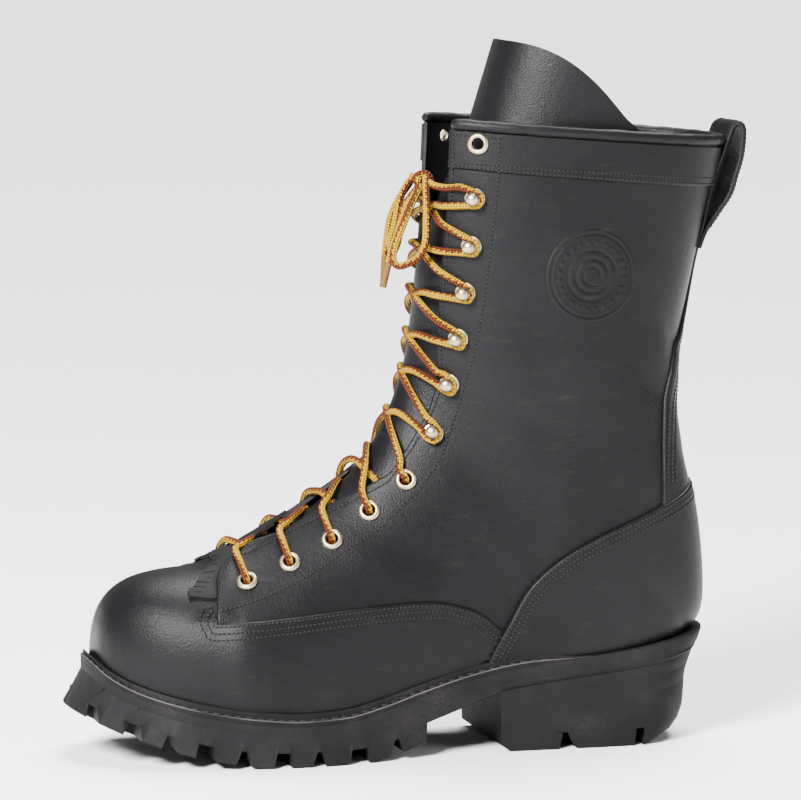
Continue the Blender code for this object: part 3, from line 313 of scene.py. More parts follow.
def section_curves():
    """A curve along the sections for each size that the skin is worked out from."""
    rows = []
    for ridge_x, ridge_z, end_x, end_z, outer, inner, widest, front, back, throat in SECTIONS:
        on_seat = end_z is None
        end_outer = feather(end_x, 1) if on_seat else 0.0
        end_inner = feather(end_x, -1) if on_seat else 0.0
        wide_outer = end_outer + SWELL if outer is None else outer
        wide_inner = end_inner - SWELL if inner is None else -inner
        height = seat(end_x) + GAP if on_seat else end_z
        rows.append((ridge_x, ridge_z, middle(ridge_x), end_x, height, end_outer, end_inner,
                     wide_outer, wide_inner, widest, front, back, throat))
    return [Curve(range(len(rows)), column) for column in zip(*rows)]


(ridge_x_of, ridge_z_of, ridge_y_of, end_x_of, end_z_of, end_outer_of, end_inner_of,
 wide_outer_of, wide_inner_of, widest_of, front_of, back_of, throat_of) = section_curves()


def section_line(t):
    """A section's line seen from the side: its ridge and its end, each as x, z."""
    return ridge_x_of(t), ridge_z_of(t), end_x_of(t), end_z_of(t)


def skin(t, s):
    """The last's surface: t is the section, s runs from -2 (inner end) to 2 (outer end)."""
    t, s = np.broadcast_arrays(np.asarray(t, float), np.asarray(s, float))
    ridge_x, ridge_z, end_x, end_z = section_line(t)
    ridge_y = ridge_y_of(t)
    widest, front, back = widest_of(t), front_of(t), back_of(t)
    wide = np.where(s >= 0, wide_outer_of(t), wide_inner_of(t))
    end_y = np.where(s >= 0, end_outer_of(t), end_inner_of(t))
    c = np.minimum(np.abs(s), 2.0)
    high = np.minimum(c, 1.0) * np.pi / 2
    low = np.clip(c - 1, 0.0, 1.0) * np.pi / 2
    along_high = widest * (1 - np.maximum(np.cos(high), 0.0) ** (2 / front))
    along_low = widest + (1 - widest) * np.sin(low) ** (2 / back)
    y_high = ridge_y + (wide - ridge_y) * np.sin(high) ** (2 / front)
    y_low = end_y + (wide - end_y) * np.maximum(np.cos(low), 0.0) ** (2 / back)
    along = np.where(c <= 1, along_high, along_low)
    y = np.where(c <= 1, y_high, y_low)
    return np.stack((blend(ridge_x, end_x, along), y, blend(ridge_z, end_z, along)), axis=-1)


def unit(vectors):
    return vectors / np.maximum(np.linalg.norm(vectors, axis=-1, keepdims=True), 1e-9)


def outward(t, s):
    """The skin's normal; past the heel the two sides run into each other at the back."""
    step_t = 0.02
    step_s = 0.01
    t, s = np.broadcast_arrays(np.asarray(t, float), np.asarray(s, float))
    along = skin(np.minimum(t + step_t, TOP_ROW), s) - skin(np.maximum(t - step_t, 0.0), s)
    joined = t >= HEEL_ROW
    after = s + step_s
    after = np.where(after > 2, np.where(joined, after - 4, 2.0), after)
    before = s - step_s
    before = np.where(before < -2, np.where(joined, before + 4, -2.0), before)
    normal = unit(np.cross(along, skin(t, after) - skin(t, before)))
    ridge_x, ridge_z, end_x, end_z = section_line(t)
    heart_x = blend(ridge_x, end_x, 0.5)
    heart_z = blend(ridge_z, end_z, 0.5)
    heart = np.stack((heart_x, np.zeros_like(heart_x), heart_z), axis=-1)
    turned_in = (normal * (skin(t, s) - heart)).sum(-1, keepdims=True) < 0
    return np.where(turned_in, -normal, normal)


COLLAR_LIFT = 3.0
COLLAR_LIFT_START = 3.0
COLLAR_LIFT_SPAN = 13.0
BAND_LOW = ((150.0, 279.2), (-40.0, 262.4))


def over_line(points):
    """Height of points of the shaft over the collar band's lower edge."""
    (front_x, front_z), (back_x, back_z) = BAND_LOW
    return points[..., 2] - blend(back_z, front_z, (points[..., 0] - back_x) / (front_x - back_x))


def above(t, s, height):
    """Points over the last's surface, never lower than the seat and drawn up a little at the collar."""
    points = skin(t, s) + outward(t, s) * np.asarray(height, float)[..., None]
    points[..., 2] = np.maximum(points[..., 2], seat(points[..., 0]) + GAP)
    points[..., 2] += COLLAR_LIFT * soft_step((over_line(points) - COLLAR_LIFT_START) / COLLAR_LIFT_SPAN)
    return points


OUTER_THROAT = 4.5
WIDEST_THROAT = 0.6


def throat_edge(t, side=-1):
    """S of the quarter's edge at the throat, which lies further out on the outer side over the instep."""
    wider = OUTER_THROAT * soft_step((t - 6.5) / 2.5)
    wider = wider * (1 - soft_step((t - 10.5) / 4.0)) * (np.asarray(side) > 0)
    share = np.minimum((throat_of(t) + wider) / (wide_outer_of(t) - ridge_y_of(t)), WIDEST_THROAT)
    return np.arcsin(share ** (front_of(t) / 2)) * 2 / np.pi


def spread_s(t, s):
    """Millimetres along a section for each unit of s."""
    step = 0.01
    return np.linalg.norm(skin(t, s + step) - skin(t, s - step), axis=-1) / (2 * step)


QUARTER_FRONT = 7.12
FRONT_LEAN = 0.34
FRONT_SIDE = 0.74
FRONT_TOP = 0.1
OUTER_TOP = 0.145
CORNER_ROWS = 1.0
CORNER_SPAN = 0.2
QUARTER_LIFT = 3.9
TIP_LIFT = 2.8
TIP_SIDE = 0.64
LIFT_END = 9.2
ROW_LENGTH = 15.0


def quarter_front(s):
    """Section of the quarter's front edge, which leans back and has a round upper corner."""
    c = np.abs(s)
    top = np.where(np.asarray(s) > 0, OUTER_TOP, FRONT_TOP)
    lean = FRONT_LEAN * (1 - soft_step((c - top) / (FRONT_SIDE - top)))
    near = np.clip(1 - (c - top) / CORNER_SPAN, 0.0, 1.0)
    return QUARTER_FRONT + lean + CORNER_ROWS * (1 - np.sqrt(1 - near**2))


def quarter_lift(t, s):
    """How far the quarters stand off the last: most at their front tips, which lie on the vamp."""
    c = np.abs(s)
    edge = throat_edge(t, np.sign(s))
    fade = 1 - soft_step((t - QUARTER_FRONT) / (LIFT_END - QUARTER_FRONT))
    lift = QUARTER_LIFT * fade * (1 - soft_step((c - edge) / (FRONT_SIDE - edge)))
    tip = (1 - soft_step((t - quarter_front(s)) / 0.7)) * (1 - soft_step((c - TIP_SIDE) / 0.1))
    return lift + np.maximum(TIP_LIFT - lift, 0.0) * tip


# Soft troughs and ridges: distance from the heel, height, lean in degrees, half length, half width, depth
CREASES = (
    (21.0, 192.0, 62.0, 13.0, 3.2, -0.9),
    (27.0, 183.0, 58.0, 12.0, 3.0, 0.5),
    (34.0, 172.0, 48.0, 16.0, 4.5, -0.6),
    (150.0, 96.0, 28.0, 26.0, 7.0, -0.7),
    (168.0, 88.0, 30.0, 24.0, 7.0, 0.5),
    (118.0, 128.0, 40.0, 24.0, 9.0, -0.7),
    (100.0, 142.0, 38.0, 26.0, 10.0, 0.6),
    (96.0, 205.0, 80.0, 42.0, 14.0, -0.7),
    (64.0, 176.0, 55.0, 40.0, 15.0, 0.7),
)


def creases(points):
    """Height of the listed creases at points of the upper."""
    height = np.zeros(points.shape[:-1])
    for x, z, lean, half_length, half_width, depth in CREASES:
        away_x = points[..., 0] - x
        away_z = points[..., 2] - z
        turn = math.radians(lean)
        along = away_x * math.cos(turn) + away_z * math.sin(turn)
        across = away_z * math.cos(turn) - away_x * math.sin(turn)
        height += depth * np.exp(-((along / half_length) ** 2) - (across / half_width) ** 2)
    return height


def on_quarter(t, s, height):
    return above(t, s, height + quarter_lift(t, s) + creases(skin(t, s)))


def rounded(distance, height, radius):
    """A panel's height near its edge, where it is rounded off."""
    return height * np.sqrt(np.maximum(0.0, 1 - (1 - np.clip(distance / radius, 0.0, 1.0)) ** 2))


def put_mesh(name, points, faces, finishes, kinds=None, sharp=None):
    """A mesh object at the origin, from points in the last's millimetres."""
    mesh = bpy.data.meshes.new(name)
    mesh.from_pydata(((np.asarray(points, float) - LAST_ORIGIN) * MM).tolist(), [], faces)
    for finish in finishes:
        mesh.materials.append(finish)
    if kinds is not None:
        mesh.polygons.foreach_set("material_index", kinds)
    mesh.shade_smooth()
    if sharp is not None:
        mesh.set_sharp_from_angle(angle=math.radians(sharp))
    piece = bpy.data.objects.new(name, mesh)
    bpy.context.scene.collection.objects.link(piece)
    return piece


def shell(name, outer, inner, finishes, present=None, sharp=50.0):
    """A closed sheet between two grids of points, with a wall along every open edge."""
    rows, columns = outer.shape[:2]
    flat = outer.reshape(-1, 3)
    first, index = np.unique(np.round(flat, 4), axis=0, return_index=True, return_inverse=True)[1:]
    index = index.reshape(rows, columns)
    points = np.concatenate((flat[first], inner.reshape(-1, 3)[first]))
    count = len(first)
    loops = []
    edges = set()
    for i in range(rows - 1):
        for j in range(columns - 1):
            if present is not None and not present[i, j]:
                continue
            loop = (index[i, j], index[i, j + 1], index[i + 1, j + 1], index[i + 1, j])
            loop = [int(k) for k in dict.fromkeys(loop)]
            if len(loop) < 3:
                continue
            loops.append(loop)
            for a, b in zip(loop, loop[1:] + loop[:1]):
                if (b, a) in edges:
                    edges.remove((b, a))
                else:
                    edges.add((a, b))
    faces = loops + [[k + count for k in reversed(loop)] for loop in loops]
    faces += [[b, a, a + count, b + count] for a, b in sorted(edges)]
    facing = 0.0
    for loop in loops[::7]:
        a, b, c = points[loop[0]], points[loop[1]], points[loop[2]]
        facing += np.cross(b - a, c - a) @ (points[loop[0]] - points[loop[0] + count])
    if facing < 0:
        faces = [list(reversed(face)) for face in faces]
    kinds = [0] * len(loops) + [1] * len(loops) + [2] * len(edges)
    return put_mesh(name, points, faces, finishes, kinds, sharp)


def hand_in(piece, slot, *nodes):
    """A finished piece rides on the boot and stands for its solids, which are hidden; the slot is not used.
    """
    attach(piece, "root")
    if nodes:
        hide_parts(*nodes)


LEATHER = leather("black_oiled_leather", (0.0024, 0.0022, 0.0028), (0.0054, 0.0049, 0.0057),
                  (0.026, 0.0235, 0.0228), 0.4, 0.0002)
# A darker, duller leather for the lining, which also serves as painted shade on the kiltie's top and on one
# face of the pull loop.
LINING_AND_PAINTED_SHADE = leather("black_lining_leather_and_painted_shade", (0.002, 0.0018, 0.0018), (0.004, 0.0036, 0.0036),
                 (0.011, 0.0095, 0.009), 0.66, 0.0002, 900.0)
CUT_EDGE = leather("cut_leather_edge", (0.006, 0.0055, 0.0053), (0.021, 0.0195, 0.0186),
                   (0.06, 0.056, 0.053), 0.7, 0.0003, 1900.0)
PANEL_FINISHES = [LEATHER, LINING_AND_PAINTED_SHADE, CUT_EDGE]

# Rows and columns crowd along the open edges, where the leather's edge is rounded
EDGE_DROP = 0.9
UPPER_EASING = 60
edge_steps = np.array((0.0, 0.3, 0.7, 1.2, 2.0))
upper_rows = np.concatenate((QUARTER_FRONT + edge_steps / ROW_LENGTH, np.arange(7.4, 16.95, 0.12), [HEEL_ROW],
                             np.arange(17.1, 26.95, 0.1), [TOP_ROW]))


def all_cells(grid):
    """A mark for every cell of a grid of points."""
    return np.ones((grid.shape[0] - 1, grid.shape[1] - 1), bool)


def quarter_columns(side):
    """The columns of one side of the quarters, from the throat's edge back to the end."""
    edge = throat_edge(upper_rows, side)
    columns = edge[:, None] + edge_steps / spread_s(upper_rows, edge)[:, None]
    return np.concatenate((columns[:, :-1], blend(columns[:, -1:], 2.0, np.linspace(0, 1, 50))), axis=1)


def eased(points, weights, times):
    """A grid with its rows drawn towards their neighbours where the weights say."""
    for _ in range(times):
        drawn = points.copy()
        drawn[1:-1] = (points[:-2] + points[2:]) / 2
        points = blend(points, drawn, 0.5 * weights[..., None])
    return points


def heel_weights(t, start):
    """Where the fan of sections turns the corner of the heel and is eased."""
    return soft_step((t - 13.2) / 1.6) * (1 - soft_step((t - 20.0) / 0.9)) * start


upper_s = np.concatenate((quarter_columns(1), -quarter_columns(-1)[:, ::-1]), axis=1)
row_share = ((upper_rows - QUARTER_FRONT) / (TOP_ROW - QUARTER_FRONT))[:, None]
upper_t = blend(quarter_front(upper_s), TOP_ROW, row_share)
past_throat = np.abs(upper_s) - throat_edge(upper_rows[:, None], np.sign(upper_s))
from_throat = past_throat * spread_s(upper_t, upper_s)
from_front = (upper_t - quarter_front(upper_s)) * ROW_LENGTH
dropped = rounded(np.minimum(from_throat, from_front), EDGE_DROP, 1.0) - EDGE_DROP
upper_present = all_cells(upper_s)
upper_present[:, upper_s.shape[1] // 2 - 1] = upper_rows[:-1] >= HEEL_ROW
upper_weights = heel_weights(upper_t, soft_step((np.abs(upper_s) - 1.15) / 0.25))
upper_outer = eased(on_quarter(upper_t, upper_s, dropped), upper_weights, UPPER_EASING)
upper_inner = eased(on_quarter(upper_t, upper_s, -UPPER_WALL), upper_weights, UPPER_EASING)
upper = shell("upper_leather", upper_outer, upper_inner, PANEL_FINISHES, upper_present)

# The lace's fasteners on each side, from the toe up: kind, distance from the heel, height
FASTENERS = (
    ("eyelet", 231.9, 84.8), ("eyelet", 211.5, 93.7), ("eyelet", 190.8, 103.5), ("eyelet", 172.2, 116.4),
    ("eyelet", 154.2, 130.6), ("hook", 140.5, 152.0), ("hook", 132.8, 175.2), ("hook", 129.2, 197.0),
    ("hook", 126.3, 219.0), ("hook", 123.9, 241.0), ("hook", 122.4, 263.6), ("eyelet", 120.8, 287.5),
)
PANEL_HEIGHT = 2.2
EYELET_HOLE = 3.4
PUNCH_LENGTH = 24.0
HALVINGS = 40


def s_along(t, along):
    """S of the point at a share of the way from a section's ridge to its end."""
    widest, front, back = widest_of(t), front_of(t), back_of(t)
    high = np.arccos(np.clip(1 - along / widest, 0.0, 1.0) ** (front / 2)) * 2 / np.pi
    low = 1 + np.arcsin(np.clip((along - widest) / (1 - widest), 0.0, 1.0) ** (back / 2)) * 2 / np.pi
    return np.where(along <= widest, high, low)


def side_place(x, z):
    """The section and s of the upper's point at x, z as seen from the side."""
    low = np.full(np.shape(x), 4.0)
    high = np.full(np.shape(x), float(TOP_ROW))
    for _ in range(HALVINGS):
        t = (low + high) / 2
        ridge_x, ridge_z, end_x, end_z = section_line(t)
        past = (end_x - ridge_x) * (z - ridge_z) - (end_z - ridge_z) * (x - ridge_x) > 0
        high = np.where(past, t, high)
        low = np.where(past, low, t)
    along = np.hypot(x - ridge_x, z - ridge_z) / np.hypot(end_x - ridge_x, end_z - ridge_z)
    return t, s_along(t, along)


def axes_on(t, s, height):
    """A point over the upper, with the leather's normal and the directions along and across it."""
    base = on_quarter(t, s, height)
    normal = outward(t, s)
    along = skin(min(t + 0.05, TOP_ROW), s) - skin(t - 0.05, s)
    along = unit(along - normal * (along @ normal))
    return base, normal, along, np.cross(normal, along)


def seated(base, normal, along, across):
    """The matrix that puts a small part, modelled upright in metres, on the leather."""
    matrix = Matrix((along, across, normal)).transposed().to_4x4()
    matrix.translation = Vector((base - LAST_ORIGIN) * MM)
    return matrix


fasteners = []
for kind, side_x, side_z in FASTENERS:
    fastener_t, fastener_s = side_place(side_x, side_z)
    for side in (1, -1):
        fasteners.append((kind, float(fastener_t), side * float(fastener_s)))


def cut_holes(piece, places, radius):
    """Punches round holes through a piece of leather."""
    bpy.ops.object.select_all(action="DESELECT")
    punches = []
    for t, s in places:
        bpy.ops.mesh.primitive_cylinder_add(vertices=28, radius=radius * MM, depth=PUNCH_LENGTH * MM)
        punch = bpy.context.object
        punch.data.transform(seated(*axes_on(t, s, 0.0)) @ punch.matrix_world)
        punches.append(punch)
    for punch in punches:
        punch.select_set(True)
    bpy.context.view_layer.objects.active = punches[0]
    bpy.ops.object.join()
    cutter = bpy.context.object
    cut = piece.modifiers.new("holes", "BOOLEAN")
    cut.operation = "DIFFERENCE"
    cut.solver = "EXACT"
    cut.object = cutter
    bpy.context.view_layer.objects.active = piece
    bpy.ops.object.modifier_apply(modifier="holes")
    bpy.data.objects.remove(cutter)


cut_holes(upper, [(t, s) for kind, t, s in fasteners if kind == "eyelet"], EYELET_HOLE)
hand_in(upper, "black_leather", "upper")


# Vamp
# One piece of leather over the toe and along the sides, its rear edge sewn over the quarters with
# three rows of thread. At the throat it runs on under the quarters' front tips.
VAMP_SIDE = ((96.0, 45.0), (104.0, 53.0), (111.6, 60.0), (119.0, 66.0), (127.0, 70.0), (147.0, 74.0),
             (186.0, 71.9), (208.0, 70.0), (228.0, 68.3), (252.0, 66.9), (262.0, 66.4))
COUNTER_EDGE = ((124.0, 22.0), (121.0, 30.0), (116.0, 45.0), (107.0, 61.5), (97.0, 78.0), (82.0, 91.0),
                (61.0, 102.4), (36.0, 112.8), (20.0, 119.6), (7.7, 126.4), (-30.0, 148.0))
HEM = 1.93
VAMP_TOE = 0.22
VAMP_END = 14.1
VAMP_TUCK = 0.3
TUCKED_HEIGHT = 0.25
EDGE_RADIUS = 1.3
SUNK = -0.3


def smooth_line(points, steps=10):
    """A smooth line through given points."""
    points = np.array(points, float)
    before = np.concatenate((points[:1], points[:-2]))
    start = points[:-1]
    finish = points[1:]
    after = np.concatenate((points[2:], points[-1:]))
    line = []
    for u in np.linspace(0, 1, steps, endpoint=False):
        bend = (finish - before) * u + (before * 2 - start * 5 + finish * 4 - after) * u**2
        line.append(start + (bend + (start * 3 - before - finish * 3 + after) * u**3) / 2)
    line = np.stack(line, axis=1).reshape(-1, points.shape[1])
    return np.concatenate((line, points[-1:]))


def side_cross(t, line):
    """S at which a section, seen from the side, crosses an outline."""
    ridge_x, ridge_z, end_x, end_z = section_line(t)
    ridge = np.array((ridge_x, ridge_z))
    ahead = np.array((end_x, end_z)) - ridge
    turn = ahead[0] * (line[:, 1] - ridge[1]) - ahead[1] * (line[:, 0] - ridge[0])
    crossings = np.nonzero(turn[:-1] * turn[1:] <= 0)[0]
    if len(crossings) == 0:
        return 2.0
    k = crossings[0]
    point = blend(line[k], line[k + 1], turn[k] / (turn[k] - turn[k + 1]))
    along = (point - ridge) @ ahead / (ahead @ ahead)
    return s_along(t, float(np.clip(along, 0.0, 1.0)))


def inside_of(points, line):
    """Distance of points behind an outline seen from the side, negative in front of it."""
    flat = points.reshape(-1, 3)[:, (0, 2)]
    best = np.full(len(flat), 1e9)
    signed = np.zeros(len(flat))
    for a, b in zip(line[:-1], line[1:]):
        ahead = b - a
        u = np.clip((flat - a) @ ahead / (ahead @ ahead), 0.0, 1.0)
        away = flat - a - u[:, None] * ahead
        far = np.linalg.norm(away, axis=1)
        turn = ahead[0] * (flat[:, 1] - a[1]) - ahead[1] * (flat[:, 0] - a[0])
        nearer = far < best
        best = np.where(nearer, far, best)
        signed = np.where(nearer, np.copysign(far, turn), signed)
    return signed.reshape(points.shape[:-1])


def vamp_top(t, s):
    """Height of the vamp over the last, which dips under the quarters' front tips."""
    dip = soft_step((t - quarter_front(s) + 0.75) / 0.75)
    dip = dip * (1 - soft_step((np.abs(s) - TIP_SIDE) / (vamp_split - TIP_SIDE)))
    return blend(PANEL_HEIGHT, TUCKED_HEIGHT, dip)


vamp_line = smooth_line(VAMP_SIDE)
counter_line = smooth_line(COUNTER_EDGE)
vamp_split = side_cross(QUARTER_FRONT, vamp_line)
front_share = np.concatenate((np.linspace(0, 0.9, 46), 1 - np.array((0.06, 0.03, 0.012, 0.0))))
side_rows = np.concatenate((QUARTER_FRONT + np.array((0.03, 0.08, 0.15)), np.arange(7.36, VAMP_END, 0.1)))
edge_offsets = np.array((0.0, 0.12, 0.35, 0.7, 1.3, 2.2))
split_of_row = np.concatenate((np.full(len(front_share), vamp_split),
                               [side_cross(t, vamp_line) for t in side_rows]))
row_t = np.concatenate((blend(VAMP_TOE, QUARTER_FRONT, front_share), side_rows))
spread = spread_s(row_t, split_of_row)[:, None]
low_s = split_of_row[:, None] + edge_offsets / spread
low_s = np.concatenate((low_s[:, :-1], blend(low_s[:, -1:], HEM, np.linspace(0, 1, 30))), axis=1)
high_s = split_of_row[:, None] * np.linspace(0, 1, 26)[:-1]
half_s = np.concatenate((high_s, low_s), axis=1)
vamp_s = np.concatenate((-half_s[:, :0:-1], half_s), axis=1)
tuck = VAMP_TUCK * (1 - soft_step((np.abs(vamp_s) - 0.62) / (vamp_split - 0.62)))
toe_t = np.minimum(quarter_front(vamp_s), 7.9) + tuck
vamp_t = np.repeat(row_t[:, None], vamp_s.shape[1], axis=1)
toe_rows = len(front_share)
vamp_t[:toe_rows] = blend(VAMP_TOE, toe_t[:toe_rows], front_share[:, None])
is_high = np.abs(vamp_s) < split_of_row[:, None] - 1e-6
vamp_present = all_cells(vamp_s)
vamp_present[toe_rows - 1:] = ~(is_high[toe_rows - 1:-1, :-1] | is_high[toe_rows - 1:-1, 1:])
from_edge = (np.abs(vamp_s) - split_of_row[:, None]) * spread_s(vamp_t, vamp_s)
from_edge[:toe_rows] = 99.0
vamp_height = rounded(from_edge, PANEL_HEIGHT, EDGE_RADIUS)
is_toe = (np.arange(len(row_t)) < toe_rows)[:, None]
vamp_height = np.where(is_toe, vamp_top(vamp_t, vamp_s), vamp_height)
under_counter = soft_step((inside_of(skin(vamp_t, vamp_s), counter_line) + 0.6) / 1.6)
vamp_height = blend(vamp_height, 0.4, under_counter * (vamp_t > 9))
vamp_height = vamp_height + creases(skin(vamp_t, vamp_s))
vamp = shell("vamp", above(vamp_t, vamp_s, vamp_height), above(vamp_t, vamp_s, SUNK), PANEL_FINISHES,
             vamp_present)
hand_in(vamp, "black_leather", "vamp_panel")


# Heel counter
# A stiff cup of leather round the back of the foot, sewn over the vamp's ends and the quarters
# with three rows of thread, and lasted down on the heel seat.
COUNTER_HEIGHT = 2.9
PANEL_EASING = 90


def wrapped_panel(name, rows, line, height, hem):
    """A panel behind an outline, both sides in one sheet that meets itself at the back."""
    edge = np.array([side_cross(t, line) for t in rows])
    room = np.maximum(hem - edge, 1e-4)[:, None]
    offsets = np.minimum(edge_offsets / spread_s(rows, edge)[:, None], room * np.linspace(0, 0.5, 6))
    half = edge[:, None] + offsets
    half = np.concatenate((half[:, :-1], blend(half[:, -1:], hem[:, None], np.linspace(0, 1, 40))), axis=1)
    s = np.concatenate((half, -half[:, ::-1]), axis=1)
    t = np.repeat(rows[:, None], s.shape[1], axis=1)
    distance = np.maximum(inside_of(skin(t, s), line), (np.abs(s) - edge[:, None]) * spread_s(t, s) * 0.7)
    present = all_cells(s)
    present[:, half.shape[1] - 1] = rows[:-1] >= HEEL_ROW
    tall = rounded(distance, height, EDGE_RADIUS) + creases(skin(t, s))
    weights = heel_weights(t, soft_step((distance - 1.0) / 9.0))
    outer = eased(above(t, s, tall), weights, PANEL_EASING)
    inner = eased(above(t, s, SUNK), weights, PANEL_EASING)
    return shell(name, outer, inner, PANEL_FINISHES, present)


counter_rows = np.concatenate((np.arange(11.95, 16.95, 0.1), [HEEL_ROW], np.arange(17.08, 21.9, 0.07)))
counter_hem = np.where(counter_rows < HEEL_ROW, 1.97, 2.0)
counter = wrapped_panel("heel_counter_leather", counter_rows, counter_line, COUNTER_HEIGHT, counter_hem)
hand_in(counter, "black_leather", "heel_counter")


# Back strip
# A narrow strip of leather that covers the seam at the back of the shaft, from under the counter
# up to the collar band, with three rows of thread along each edge, of which the inner two stop lower.
BACKSTAY_EDGE = ((30.8, 95.0), (29.6, 115.6), (28.2, 150.0), (24.0, 176.0), (12.0, 211.0), (5.0, 240.0),
                 (-1.0, 266.4), (-3.0, 276.0))
BACKSTAY_HEIGHT = 1.9
backstay_line = smooth_line(BACKSTAY_EDGE)
backstay_rows = np.arange(20.3, 26.4, 0.06)
backstay_hem = np.full(len(backstay_rows), 2.0)
backstay = wrapped_panel("back_strip", backstay_rows, backstay_line, BACKSTAY_HEIGHT, backstay_hem)
hand_in(backstay, "black_leather", "backstay")


# Collar band
# A band of leather round the top of the shaft, sewn on with two rows of thread along its lower edge.
# The top eyelets go through it, and its upper edge is caught in the rolled collar.
BAND_HEIGHT = 1.3
BAND_TOP = 26.96
BAND_ROW_LENGTH = 22.0


def band_low_row(s):
    """Section of the band's lower edge at s."""
    low = 24.0
    high = float(TOP_ROW)
    for _ in range(HALVINGS):
        t = (low + high) / 2
        if over_line(skin(t, s)) > 0:
            high = t
        else:
            low = t
    return t


band_start = float(throat_edge(26.6)) + 0.004
band_half = band_start + np.concatenate(([0.0, 0.004, 0.01, 0.02], np.linspace(0.04, 2 - band_start, 74)))
band_s = np.concatenate((band_half, -band_half[::-1]))
band_low = np.array([band_low_row(s) for s in band_s])
band_rows = np.concatenate((edge_offsets[:-1] / BAND_ROW_LENGTH, np.linspace(0.1, 1, 12)))
band_t = np.minimum(band_low[None, :] + band_rows[:, None] * (BAND_TOP - band_low[None, :]), BAND_TOP)
band_t[:5] = band_low[None, :] + edge_offsets[:5, None] / BAND_ROW_LENGTH
band_grid = np.repeat(band_s[None, :], len(band_rows), axis=0)
band_edge = np.minimum((band_t - band_low) * BAND_ROW_LENGTH, (np.abs(band_grid) - band_start) * 45.0 + 0.3)
band_present = all_cells(band_grid)
band_present[:, len(band_half) - 1] = False
band = shell("collar_band_leather", above(band_t, band_grid, rounded(band_edge, BAND_HEIGHT, EDGE_RADIUS)),
             above(band_t, band_grid, SUNK), PANEL_FINISHES, band_present)
cut_holes(band, [(t, s) for kind, t, s in fasteners if kind == "eyelet" and t > 26], EYELET_HOLE)
hand_in(band, "black_leather", "collar_band")


# Rolled collar
# A soft roll of leather sewn round the top edge of the shaft, from one throat edge to the other.
# It is stuffed, so it swells and puckers a little along its length.
BEAD_RADIUS = 2.8


def distance_along(points):
    """How far each point of a line lies along it."""
    return np.concatenate(([0.0], np.cumsum(np.linalg.norm(np.diff(points, axis=0), axis=1))))


def ring_faces(rings, corners):
    """The faces between rings of corners that follow each other."""
    faces = []
    for low in range(0, (rings - 1) * corners, corners):
        for j in range(corners):
            after = (j + 1) % corners
            faces.append((low + j, low + after, low + corners + after, low + corners + j))
    return faces


def bar_faces(rings, corners):
    """The faces of a closed bar: those between its rings, then its first and its last end."""
    last = (rings - 1) * corners
    return ring_faces(rings, corners) + [tuple(reversed(range(corners))), tuple(range(last, last + corners))]


def tube_mesh(path, radius, sides, facing=None):
    """Points, faces and a length-and-turn map of a round bar along a path; the turn starts where it faces."""
    path = np.asarray(path, float)
    ahead = unit(np.gradient(path, axis=0))
    up = np.array((0.0, 0.0, 1.0)) if abs(ahead[0][2]) < 0.9 else np.array((1.0, 0.0, 0.0))
    radii = np.full(len(path), float(radius)) if np.isscalar(radius) else np.asarray(radius, float)
    length = distance_along(path)
    turns = np.arange(sides) * 2 * math.pi / sides
    points = []
    shifts = []
    for k in range(len(path)):
        up = unit(up - ahead[k] * (up @ ahead[k]))
        across = np.cross(ahead[k], up)
        ring = np.cos(turns)[:, None] * across + np.sin(turns)[:, None] * up
        points.append(path[k] + ring * radii[k])
        shifts.append(0.0 if facing is None else math.atan2(facing @ up, facing @ across))
    points = np.concatenate(points)
    shifts = np.unwrap(shifts) / (2 * math.pi)
    corners = []
    for k in range(len(path) - 1):
        for n in range(sides):
            left, right = n / sides, (n + 1) / sides
            corners += [(length[k + 1], left - shifts[k + 1]), (length[k + 1], right - shifts[k + 1])]
            corners += [(length[k], right - shifts[k]), (length[k], left - shifts[k])]
    corners += [(0.0, n / sides) for n in range(sides)]
    corners += [(length[-1], n / sides) for n in reversed(range(sides))]
    # Seen along the path the rings turn to the left, so each face is turned round to look outwards.
    faces = [tuple(reversed(face)) for face in bar_faces(len(path), sides)]
    return points, faces, corners


bead_half = blend(float(throat_edge(TOP_ROW)) + 0.012, 2.0, np.linspace(0, 1, 90))
bead_s = np.concatenate((bead_half, -bead_half[-2::-1]))
bead_path = above(np.full(len(bead_s), float(TOP_ROW)), bead_s, -0.4)
bead_path[:, 2] += BEAD_RADIUS - 0.5
bead_swell = 1 + 0.035 * np.sin(bead_s * 31) + 0.03 * np.sin(bead_s * 53 + 1.2)
bead_ends = np.minimum(np.arange(len(bead_s)), np.arange(len(bead_s))[::-1])
bead_swell = bead_swell * rounded(bead_ends + 0.6, 1.0, 3.0)
bead_points, bead_faces = tube_mesh(bead_path, BEAD_RADIUS * bead_swell, 16)[:2]
bead = put_mesh("rolled_collar", bead_points, bead_faces, [LEATHER], None, 60.0)
hand_in(bead, "black_leather", "collar_binding")


# Tongue
# A tall, wide tongue of plain leather, sewn in under the vamp and left with cut edges.
# Its top stands well above the collar and leans back.
TONGUE_OUTER = -5.0
TONGUE_INNER = -7.0
TONGUE_SETBACK = 24.0
SETBACK_LOW = 225.0
SETBACK_SPAN = 77.0
TONGUE_RISE = 38.0
TONGUE_LEAN = 0.31
TONGUE_CORNER = 4.0
# Half width of the tongue along the sections: section, s
TONGUE_HALF = ((7.6, 0.24), (10.0, 0.29), (12.0, 0.5), (18.0, 0.72), (24.0, 0.88), (27.0, 1.03))
tongue_half = Curve(*zip(*TONGUE_HALF))


def setback(z):
    """How far the tongue leans back from the throat towards the top."""
    return TONGUE_SETBACK * np.maximum(0.0, (z - SETBACK_LOW) / SETBACK_SPAN) ** 1.3


